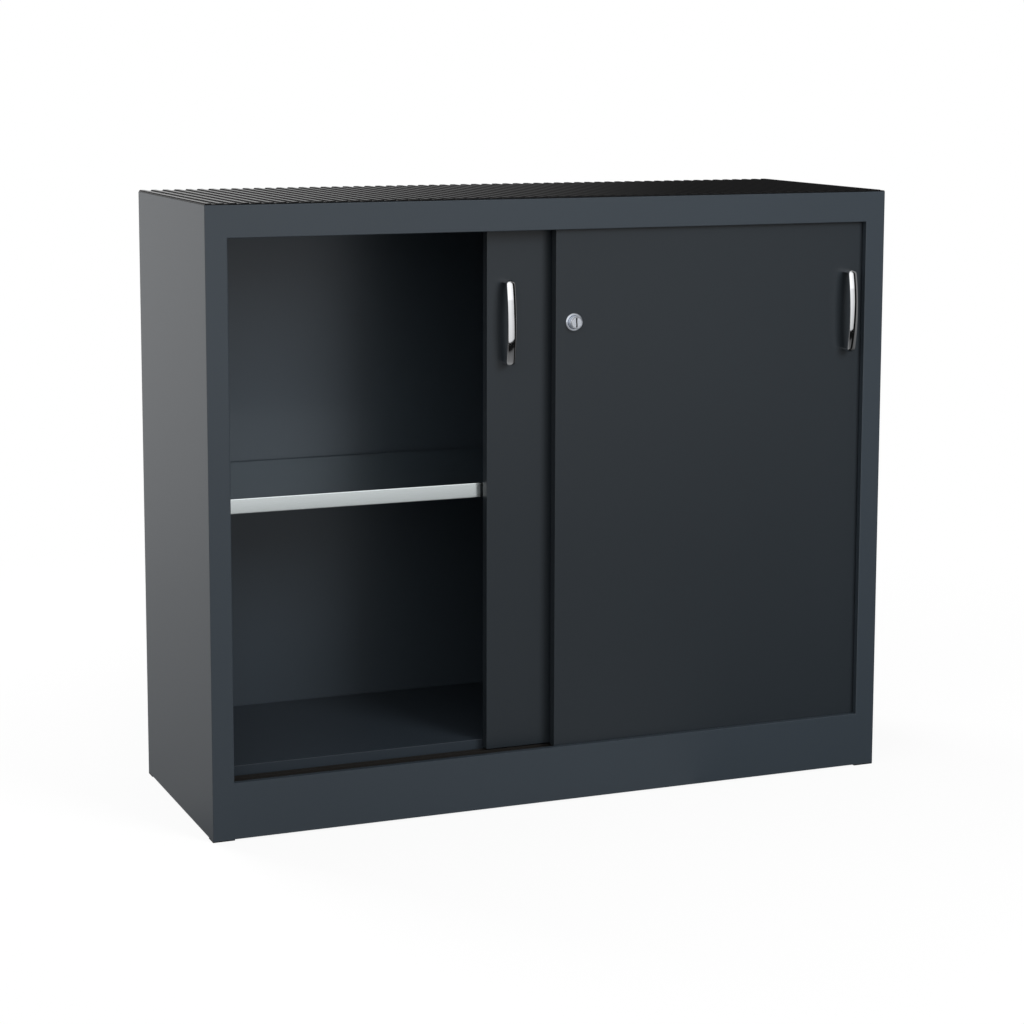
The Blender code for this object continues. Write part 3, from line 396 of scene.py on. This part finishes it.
def merge_corners():
    """Merges the open mesh's corners that lie together."""
    bpy.ops.mesh.select_all(action="SELECT")
    bpy.ops.mesh.remove_doubles(threshold=MERGE)


def face_outward():
    """Turns the open mesh's faces outward."""
    bpy.ops.mesh.select_all(action="SELECT")
    bpy.ops.mesh.normals_make_consistent(inside=False)


def draw_out(x, y, z):
    """Extrudes what is selected."""
    bpy.ops.mesh.extrude_region_move(TRANSFORM_OT_translate={"value": (x, y, z)})


def apply_modifier(obj, kind, **settings):
    activate(obj)
    modifier = obj.modifiers.new(kind.lower(), kind)
    for key, value in settings.items():
        setattr(modifier, key, value)
    bpy.ops.object.modifier_apply(modifier=modifier.name)


def smooth(obj, angle, weighted):
    activate(obj)
    bpy.ops.object.shade_smooth_by_angle(angle=math.radians(angle), keep_sharp_edges=False)
    if weighted:
        apply_modifier(obj, "WEIGHTED_NORMAL", keep_sharp=True, weight=60)


def settle(obj):
    """Puts a piece's place into its mesh."""
    activate(obj)
    bpy.ops.object.transform_apply(location=True, rotation=True, scale=True)


def finish_piece(obj, name, body, slot, nodes, angle=40, weighted=True, finish=None):
    """Names, smooths and dresses a piece, and puts it in the place of its solids."""
    settle(obj)
    obj.name = name
    obj.data.name = name
    smooth(obj, angle, weighted)
    obj.data.materials.clear()
    obj.data.materials.append(finish or FINISHES[slot])
    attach(obj, body)
    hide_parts(*nodes)


def whole_copy(node):
    """A copy of a CAD solid with its corners merged and its flat faces whole again."""
    activate(solids[node])
    bpy.ops.object.duplicate()
    made = bpy.context.object
    made.parent = None
    for key in list(made.keys()):
        del made[key]
    bpy.ops.object.mode_set(mode="EDIT")
    bpy.ops.mesh.select_all(action="SELECT")
    bpy.ops.mesh.customdata_custom_splitnormals_clear()
    bpy.ops.mesh.remove_doubles(threshold=MERGE)
    bpy.ops.mesh.dissolve_limited(angle_limit=FLAT)
    leave_edit()
    return made


def eased(obj, width=EASE, angle=50):
    """Takes the sharpness off the edges that turn by more than an angle."""
    apply_modifier(
        obj,
        "BEVEL",
        width=width,
        segments=2,
        limit_method="ANGLE",
        angle_limit=math.radians(angle),
        use_clamp_overlap=True,
    )


# Carcass


def weld_ends(obj, reach):
    """Draws the ends of a front rail out across the stiles' bends, flush with their faces."""
    slack, face_depth, overlap = 0.02 * MM, 1.9 * MM, 3 * MM
    edit(obj)
    for side in (-1, 1):
        select_where(
            obj,
            "VERT",
            lambda v: abs(v.co.x - side * reach) < slack and v.co.y < FRONT + face_depth,
        )
        bpy.ops.transform.translate(value=(side * overlap, 0, 0))
    leave_edit()


def body_shell():
    """The welded front frame with its sides and top, as one sheet-steel shell without seams."""
    nodes = ("top_panel", "left_side_panel", "right_side_panel", "plinth_rail")
    shell, left, right, plinth = (whole_copy(node) for node in nodes)
    rail_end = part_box("plinth_rail")[1].x
    weld_ends(shell, rail_end)
    weld_ends(plinth, rail_end)
    for other in (left, right, plinth):
        apply_modifier(shell, "BOOLEAN", operation="UNION", object=other, solver="EXACT")
        bpy.data.objects.remove(other)
    edit(shell)
    merge_corners()
    bpy.ops.mesh.dissolve_limited(angle_limit=FLAT)
    leave_edit()
    eased(shell)
    finish_piece(shell, "body_shell", "cabinet", "anthracite_paint", nodes)


def eased_copy(name, node, body, slot, finish=None):
    """A sheet part whose cut edges are eased."""
    obj = whole_copy(node)
    eased(obj)
    finish_piece(obj, name, body, slot, (node,), finish=finish)


def sheet_pieces():
    body_shell()
    eased_copy("inner_back", "back_panel", "cabinet", "anthracite_paint", BACK_COAT)
    eased_copy("floor_tray", "floor_panel", "cabinet", "anthracite_paint", SHADED_FLOOR_COAT)
    eased_copy("shelf_tray", "shelf", "cabinet", "galvanised_steel")
    for side in ("left", "right"):
        eased_copy(f"{side}_door_pan", f"{side}_door_panel", f"{side}_door", "door_paint")


# Handles


def handle_section(half_width, thickness):
    """The bow's section in points of (across, depth below the crest): a crowned face and round corners."""
    sagitta, front_round, back_round = 1.0 * MM, 1.8 * MM, 1.8 * MM
    radius = (half_width**2 + sagitta**2) / (2 * sagitta)

    def crown(across):
        return radius - math.sqrt(radius**2 - across**2)

    edge = half_width - front_round
    right = [(edge * k / 5, crown(edge * k / 5)) for k in range(6)]
    for k in range(1, 5):
        angle = math.pi / 2 * k / 4
        across = edge + front_round * math.sin(angle)
        right.append((across, crown(edge) + front_round * (1 - math.cos(angle))))
    for k in range(5):
        angle = math.pi / 2 * k / 4
        across = half_width - back_round * (1 - math.cos(angle))
        right.append((across, thickness - back_round * (1 - math.sin(angle))))
    left = [(-across, depth) for across, depth in reversed(right[1:])]
    return right + left


def narrow_tips(obj, middle, half_length, half_width):
    """Draws the bow's two ends in to round tips."""
    tip, tip_width = 8.0 * MM, 2.5 * MM
    bm = bmesh.from_edit_mesh(obj.data)
    for vertex in bm.verts:
        past = abs(vertex.co.z - middle.z) - (half_length - tip)
        share = min(max(past / tip, 0), 1)
        loss = (1 - tip_width / (2 * half_width)) * (1 - math.sqrt(1 - share**2))
        vertex.co.x = middle.x + (vertex.co.x - middle.x) * (1 - loss)
    bmesh.update_edit_mesh(obj.data)


def bow_handle(side):
    """A die-cast bow: a leg drawn out from the door, a corner, the crowned bow, and the same back again."""
    low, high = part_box(f"{side}_door_handle")
    middle = (low + high) / 2
    foot = high.y
    half_length = (high.z - low.z) / 2
    half_width = (high.x - low.x) / 2
    reach = foot - low.y
    thickness, corner, rise = 6.5 * MM, 8 * MM, 8 * MM
    corner_steps, bow_steps = 10, 40
    shoulder = half_length - corner
    sweep = (half_length**2 + rise**2) / (2 * rise)
    span = math.asin(shoulder / (sweep - corner))
    bow_out = reach - sweep
    corner_out = bow_out + (sweep - corner) * math.cos(span)
    points = handle_section(half_width, thickness)
    deselect()
    bpy.ops.mesh.primitive_circle_add(vertices=len(points), radius=half_width, fill_type="NGON")
    obj = bpy.context.object
    bm = edit(obj)
    bm.verts.ensure_lookup_table()
    for vertex, (across, depth) in zip(bm.verts, points):
        vertex.co = (middle.x + across, foot, middle.z + half_length - depth)
    bmesh.update_edit_mesh(obj.data)
    bpy.ops.mesh.select_all(action="SELECT")
    draw_out(0, -corner_out, 0)
    quarter = math.pi / 2 - span
    for steps, angle, out, up in (
        (corner_steps, quarter, corner_out, shoulder),
        (bow_steps, 2 * span, bow_out, 0),
        (corner_steps, quarter, corner_out, -shoulder),
    ):
        centre = middle.x, foot - out, middle.z + up
        bpy.ops.mesh.spin(steps=steps, angle=angle, center=centre, axis=(-1, 0, 0))
    draw_out(0, corner_out, 0)
    merge_corners()
    bpy.ops.mesh.normals_make_consistent(inside=False)
    narrow_tips(obj, middle, half_length, half_width)
    leave_edit()
    name = f"{side}_bow_handle"
    finish_piece(obj, name, f"{side}_door", "chrome", (f"{side}_door_handle",), 35, False)


# Lock

# How thick the collar's flange is, and how deep the mouth in it.
FLANGE = 2 * MM
MOUTH = 6.3 * MM


def turned(profile, centre, steps=64):
    """Spins a closed profile of (radius, depth) points about an axis that runs from front to back."""
    deselect()
    bpy.ops.mesh.primitive_circle_add(vertices=len(profile), radius=0.01, fill_type="NOTHING")
    obj = bpy.context.object
    bm = edit(obj)
    bm.verts.ensure_lookup_table()
    for vertex, (radius, depth) in zip(bm.verts, profile):
        vertex.co = (centre[0] + radius, depth, centre[1])
    bmesh.update_edit_mesh(obj.data)
    bpy.ops.mesh.select_all(action="SELECT")
    middle = centre[0], 0, centre[1]
    bpy.ops.mesh.spin(steps=steps, angle=2 * math.pi, center=middle, axis=(0, 1, 0))
    merge_corners()
    bpy.ops.mesh.delete_loose(use_verts=True, use_edges=True, use_faces=False)
    face_outward()
    leave_edit()
    return obj


def lock_collar(centre, lip):
    """The lock's collar and threaded body, with the barrel's mouth in front."""
    low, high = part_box("lock_housing")
    outer = (high.x - low.x) / 2
    collar, rear = low.y, high.y
    seat = collar + FLANGE
    mouth, bore, body = 11.1 * MM, 12.1 * MM, 12.5 * MM
    inner_chamfer, outer_chamfer = 0.5 * MM, 0.9 * MM
    profile = [
        (mouth, collar + inner_chamfer),
        (mouth + inner_chamfer, collar),
        (outer - outer_chamfer, collar),
        (outer, collar + outer_chamfer),
        (outer, seat),
        (body, seat),
        (body, rear),
        (bore, rear),
        (bore, lip),
        (mouth, lip),
    ]
    obj = turned(profile, centre)
    eased(obj, 0.3 * MM, 25)
    finish_piece(obj, "lock_collar", "right_door", "satin_nickel", ("lock_housing",), 30)


def lock_sleeve(centre, lip):
    """The barrel: a socket for the plug in front, a retaining ring, and the locking nose behind."""
    low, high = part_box("lock_barrel")
    face, tip = low.y, high.y
    radius, nose, socket = 10.8 * MM, 8 * MM, 9.3 * MM
    socket_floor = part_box("lock_core")[1].y + 0.3 * MM
    ring, ring_radius, ring_width = lip + 0.3 * MM, radius + 1 * MM, 2 * MM
    chamfer, socket_chamfer = 0.6 * MM, 0.2 * MM
    profile = [
        (0, socket_floor),
        (socket, socket_floor),
        (socket, face + socket_chamfer),
        (socket + socket_chamfer, face),
        (radius - chamfer, face),
        (radius, face + chamfer),
        (radius, ring),
        (ring_radius, ring),
        (ring_radius, ring + ring_width),
        (nose, ring + ring_width),
        (nose, tip - chamfer),
        (nose - chamfer, tip),
        (0, tip),
    ]
    obj = turned(profile, centre)
    eased(obj, 0.15 * MM, 25)
    finish_piece(obj, "lock_sleeve", "lock_plunger", "satin_nickel", ("lock_barrel",), 30)


def lock_plug(centre):
    """The turning plug, with the keyway cut into its face."""
    low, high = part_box("lock_core")
    radius = (high.x - low.x) / 2
    chamfer = 0.3 * MM
    profile = [
        (0, low.y),
        (radius - chamfer, low.y),
        (radius, low.y + chamfer),
        (radius, high.y),
        (0, high.y),
    ]
    obj = turned(profile, centre)
    slot = key_slot(centre, low.y)
    apply_modifier(obj, "BOOLEAN", operation="DIFFERENCE", object=slot, solver="EXACT")
    bpy.data.objects.remove(slot)
    eased(obj, 0.12 * MM)
    nodes = ("lock_core",)
    finish_piece(obj, "lock_plug", "lock_cylinder", "satin_nickel", nodes, 30, finish=LOCK_FACE)


def key_slot(centre, front):
    """The cutter for the keyway: an upright slot with two wards, which is drawn in from the front."""
    width, tall, depth, ahead = 2.7 * MM, 16 * MM, 5 * MM, 0.5 * MM
    ward, ward_tall, bend = 0.6 * MM, 1.0 * MM, 0.1 * MM
    wards = ((-1, -3.1 * MM), (1, 2.7 * MM))
    deselect()
    place = centre[0], front - ahead, centre[1]
    bpy.ops.mesh.primitive_plane_add(size=1, location=place, rotation=(math.pi / 2, 0, 0))
    obj = bpy.context.object
    obj.scale = (width, tall, 1)
    settle(obj)
    edit(obj)
    for _, level in wards:
        for end in (-ward_tall / 2, ward_tall / 2):
            bpy.ops.mesh.select_all(action="SELECT")
            point = centre[0], 0, centre[1] + level + end
            bpy.ops.mesh.bisect(plane_co=point, plane_no=(0, 0, 1))
    for side, level in wards:
        edge_x = centre[0] + side * width / 2
        select_where(
            obj,
            "VERT",
            lambda v: abs(v.co.x - edge_x) < bend and abs(v.co.z - centre[1] - level) < ward_tall / 2 + bend,
        )
        bpy.ops.transform.translate(value=(-side * ward, 0, 0))
    bpy.ops.mesh.select_mode(type="FACE")
    bpy.ops.mesh.select_all(action="SELECT")
    draw_out(0, depth + ahead, 0)
    face_outward()
    leave_edit()
    return obj


def lock_parts():
    """The push lock's collar and body, its sliding barrel, and the turning core with the key slot."""
    low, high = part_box("lock_housing")
    centre = (low.x + high.x) / 2, (low.z + high.z) / 2
    lip = low.y + FLANGE + MOUTH
    lock_collar(centre, lip)
    lock_sleeve(centre, lip)
    lock_plug(centre)


# Mat


def ribbed_mat():
    """A rubber mat whose one rib is shaped and then repeated along the whole top."""
    low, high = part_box("rubber_mat")
    pitch, width, crest, base = 20 * MM, 11 * MM, 8 * MM, 1.2 * MM
    count, inset, crest_round = 61, 0.3 * MM, 0.4 * MM
    centre = low.x + width / 2 + inset
    face = low.z + base
    deselect()
    place = centre, (low.y + high.y) / 2, low.z + base / 2
    bpy.ops.mesh.primitive_cube_add(size=1, location=place)
    obj = bpy.context.object
    obj.scale = (pitch, high.y - low.y, base)
    settle(obj)
    edit(obj)
    select_where(obj, "FACE", lambda f: abs(f.normal.x) > 0.9)
    bpy.ops.mesh.delete(type="ONLY_FACE")
    for side in (-1, 1):
        select_where(obj, "FACE", lambda f: f.normal.z > 0.9)
        point = centre + side * width / 2, 0, face
        bpy.ops.mesh.bisect(plane_co=point, plane_no=(1, 0, 0))
    select_where(
        obj,
        "FACE",
        lambda f: f.normal.z > 0.9 and abs(f.calc_center_median().x - centre) < 1 * MM,
    )
    draw_out(0, 0, high.z - face)
    pivot = centre, place[1], high.z
    bpy.ops.transform.resize(value=(crest / width, 1, 1), center_override=pivot)

    def along_crest(edge):
        first, second = (vertex.co for vertex in edge.verts)
        return min(first.z, second.z) > high.z - 0.1 * MM and abs(first.y - second.y) > 0.1

    select_where(obj, "EDGE", along_crest)
    bpy.ops.mesh.bevel(offset=crest_round, segments=3, profile=0.5)
    leave_edit()
    apply_modifier(
        obj,
        "ARRAY",
        count=count,
        use_relative_offset=False,
        use_constant_offset=True,
        constant_offset_displace=(pitch, 0, 0),
        use_merge_vertices=True,
        merge_threshold=MERGE,
    )
    edit(obj)
    for limit, way in ((low.x, -1), (high.x, 1)):
        bpy.ops.mesh.select_all(action="SELECT")
        cut = {"plane_co": (limit, 0, 0), "plane_no": (way, 0, 0)}
        bpy.ops.mesh.bisect(**cut, clear_outer=True, use_fill=True)
    merge_corners()
    bpy.ops.mesh.normals_make_consistent(inside=False)
    leave_edit()
    finish_piece(obj, "ribbed_mat", "cabinet", "black_rubber", ("rubber_mat",), 22)


# Studio


def level_curve(tree, angle, stops):
    """A brightness that follows straight lines between (degrees, brightness) stops."""
    total = stops[0][1]
    for (low, below), (high, above) in zip(stops, stops[1:]):
        node = add_node(tree, "MapRange")
        node.inputs["From Min"].default_value = low
        node.inputs["From Max"].default_value = high
        node.inputs["To Min"].default_value = 0
        node.inputs["To Max"].default_value = above - below
        link(tree, angle, node.inputs["Value"])
        total = math_node(tree, "ADD", total, node.outputs["Result"])
    return total


# The front wall's brightness and the rear wall's, by the degrees above the horizon.
FRONT_LEVELS = [
    (-90, 0.20),
    (-60, 0.24),
    (-45, 0.30),
    (-34, 0.22),
    (-26, 0.14),
    (-24.6, 0.11),
    (-23.2, 0.008),
    (-18.0, 0.008),
    (-17.4, 0.78),
    (7.6, 1.02),
    (8.4, 1.35),
    (45, 1.30),
    (70, 0.80),
    (90, 0.70),
]
REAR_LEVELS = [
    (-90, 0.10),
    (-60, 0.24),
    (-40, 0.38),
    (-20, 0.53),
    (-8, 0.77),
    (0, 0.98),
    (8, 0.90),
    (11, 0.15),
    (50, 0.20),
    (75, 0.70),
]

# Where each wall's ends and edges fade, in degrees from dark to light.
FRONT_LEFT_END = (-110, -75)
FRONT_RIGHT_END = (32, 30)
FRONT_FALL = (5, 31)
REAR_LEFT_END = (-100, -70)
REAR_RIGHT_END = (27.5, 7)
RIGHT_NEAR_END = (43, 48)
RIGHT_FAR_END = (125, 95)
RIGHT_FOOT = (-60, 10)
CEILING_EDGE = (50, 75)

# The share that the front wall loses towards its right end, and the other levels.
FRONT_LOSS = 0.28
RIGHT_LEVEL = 0.22
CEILING_LEVEL = 0.7
DARK_LEVEL = 0.006


def glow():
    """The studio by direction: a light wall in front and one behind, a dim right wall and a light ceiling."""
    tree, start, end = new_group("studio_glow", [("Direction", "Vector", None)], [("Color", "Color")])
    unit = add_node(tree, "VectorMath", {"operation": "NORMALIZE"})
    link(tree, start.outputs["Direction"], unit.inputs[0])
    axes = tree.nodes.new("ShaderNodeSeparateXYZ")
    link(tree, unit.outputs["Vector"], axes.inputs[0])
    x, y, z = axes.outputs
    ahead = product(tree, y, -1)
    height = degrees(tree, math_node(tree, "ARCSINE", z))
    front_height = degrees(tree, math_node(tree, "ARCTAN2", z, ahead))
    front_side = degrees(tree, math_node(tree, "ARCTAN2", x, ahead))
    rear_side = degrees(tree, math_node(tree, "ARCTAN2", x, y))

    def wall(side, first_end, second_end):
        return product(tree, soft_step(tree, side, *first_end), soft_step(tree, side, *second_end))

    fall = math_node(tree, "MULTIPLY_ADD", soft_step(tree, front_side, *FRONT_FALL), -FRONT_LOSS, 1.0)
    front = product(tree, wall(front_side, FRONT_LEFT_END, FRONT_RIGHT_END), fall)
    rear = wall(rear_side, REAR_LEFT_END, REAR_RIGHT_END)
    right = wall(front_side, RIGHT_NEAR_END, RIGHT_FAR_END)
    front_light = product(tree, front, level_curve(tree, front_height, FRONT_LEVELS))
    rear_light = product(tree, rear, level_curve(tree, height, REAR_LEVELS))
    right_light = product(tree, product(tree, right, soft_step(tree, height, *RIGHT_FOOT)), RIGHT_LEVEL)
    ceiling = product(tree, soft_step(tree, height, *CEILING_EDGE), CEILING_LEVEL)
    total = brighter(tree, math_node(tree, "ADD", front_light, rear_light), ceiling)
    total = brighter(tree, brighter(tree, total, right_light), DARK_LEVEL)
    colour = tree.nodes.new("ShaderNodeCombineColor")
    for socket in colour.inputs:
        link(tree, total, socket)
    link(tree, colour.outputs[0], end.inputs["Color"])
    return tree


STUDIO_GLOW = glow()


def shader_mix(tree, factor, first, second):
    """The first shader where the factor is 0, and the second where it is 1."""
    mix = add_node(tree, "MixShader")
    link(tree, factor, mix.inputs[0])
    link(tree, first, mix.inputs[1])
    link(tree, second, mix.inputs[2])
    return mix.outputs["Shader"]


def add_floor():
    """A pale floor, white to the lens but for the soft shadow. Polished metal sees the studio in it."""
    side = 60
    near, far = 0.9, 2.2
    near_whiteness = 0.88
    deselect()
    bpy.ops.mesh.primitive_plane_add(size=side)
    floor = bpy.context.object
    floor.name = "floor"
    material, tree, shader = new_material("pale_floor")
    shader.inputs["Base Color"].default_value = (0.40, 0.40, 0.40, 1)
    shader.inputs["Roughness"].default_value = 0.9
    shader.inputs["Specular IOR Level"].default_value = 0.0
    place = tree.nodes.new("ShaderNodeTexCoord").outputs["Object"]
    ray = add_node(tree, "VectorMath", {"operation": "SUBTRACT"})
    ray.inputs[1].default_value = EYE
    link(tree, place, ray.inputs[0])
    seen = use_group(tree, STUDIO_GLOW)
    link(tree, ray.outputs["Vector"], seen.inputs["Direction"])
    mirrored = add_node(tree, "Emission", Strength=1.0)
    link(tree, seen.outputs["Color"], mirrored.inputs["Color"])
    white = add_node(tree, "Emission", Strength=1.0)
    pale = add_node(tree, "BsdfDiffuse")
    pale.inputs["Color"].default_value = (0.95, 0.95, 0.95, 1)
    distance = add_node(tree, "VectorMath", {"operation": "LENGTH"})
    link(tree, place, distance.inputs[0])
    whiteness = product(tree, soft_step(tree, distance.outputs["Value"], near, far), 1 - near_whiteness)
    whiteness = math_node(tree, "ADD", whiteness, near_whiteness)
    path = add_node(tree, "LightPath")
    camera_side = shader_mix(tree, whiteness, pale.outputs[0], white.outputs[0])
    other_side = shader_mix(tree, path.outputs["Is Glossy Ray"], shader.outputs["BSDF"], mirrored.outputs[0])
    surface = shader_mix(tree, path.outputs["Is Camera Ray"], other_side, camera_side)
    output = next(node for node in tree.nodes if node.type == "OUTPUT_MATERIAL")
    link(tree, surface, output.inputs["Surface"])
    floor.data.materials.append(material)


def set_world():
    """White to the lens. Everything else sees the studio's glow."""
    world = bpy.data.worlds.new("studio")
    world.use_nodes = True
    tree = world.node_tree
    tree.nodes.clear()
    output = tree.nodes.new("ShaderNodeOutputWorld")
    white = add_node(tree, "Background")
    white.inputs["Color"].default_value = (1, 1, 1, 1)
    studio = add_node(tree, "Background")
    place = tree.nodes.new("ShaderNodeTexCoord")
    seen = use_group(tree, STUDIO_GLOW)
    link(tree, place.outputs["Generated"], seen.inputs["Direction"])
    link(tree, seen.outputs["Color"], studio.inputs["Color"])
    path = add_node(tree, "LightPath")
    surface = shader_mix(tree, path.outputs["Is Camera Ray"], studio.outputs[0], white.outputs[0])
    link(tree, surface, output.inputs["Surface"])
    bpy.context.scene.world = world


def add_softbox(name, place, aim, size, power):
    deselect()
    bpy.ops.object.light_add(type="AREA", location=place)
    lamp = bpy.context.object
    lamp.name = name
    lamp.rotation_mode = "QUATERNION"
    lamp.rotation_quaternion = (Vector(aim) - Vector(place)).to_track_quat("-Z", "Y")
    lamp.data.shape = "SQUARE"
    lamp.data.size = size
    lamp.data.energy = power
    lamp.visible_camera = False
    lamp.visible_glossy = False


def light_studio():
    set_world()
    add_floor()
    add_softbox("key_softbox", (1.3, -3.2, 2.3), (0, 0, 0.6), 1.4, 95)
    add_softbox("back_softbox", (-1.8, 3.4, 2.4), (0, 0, 0.5), 2.0, 130)
    bpy.context.scene.view_settings.view_transform = "Standard"


# Camera


def add_camera():
    """The viewpoint stands to the left, a little above the top, and looks down at the middle of the front."""
    deselect()
    bpy.ops.object.camera_add()
    camera = bpy.context.object
    camera.name = "viewpoint"
    heading, downward, lean = -22.3176, 7.7474, 0.1341
    place = Vector((-1595.65, -3868.50, 1232.66)) * MM
    turn = Matrix.Rotation(math.radians(heading), 4, "Z")
    tilt = Matrix.Rotation(math.radians(90 - downward), 4, "X")
    roll = Matrix.Rotation(math.radians(lean), 4, "Z")
    camera.matrix_world = Matrix.Translation(place) @ turn @ tilt @ roll
    camera.data.sensor_width = 36
    camera.data.lens = 86.566
    camera.data.shift_y = -0.115
    camera.data.clip_start = 0.05
    camera.data.clip_end = 60
    bpy.context.scene.camera = camera


add_camera()
dress_solids()
sheet_pieces()
for side in ("left", "right"):
    bow_handle(side)
lock_parts()
ribbed_mat()
light_studio()
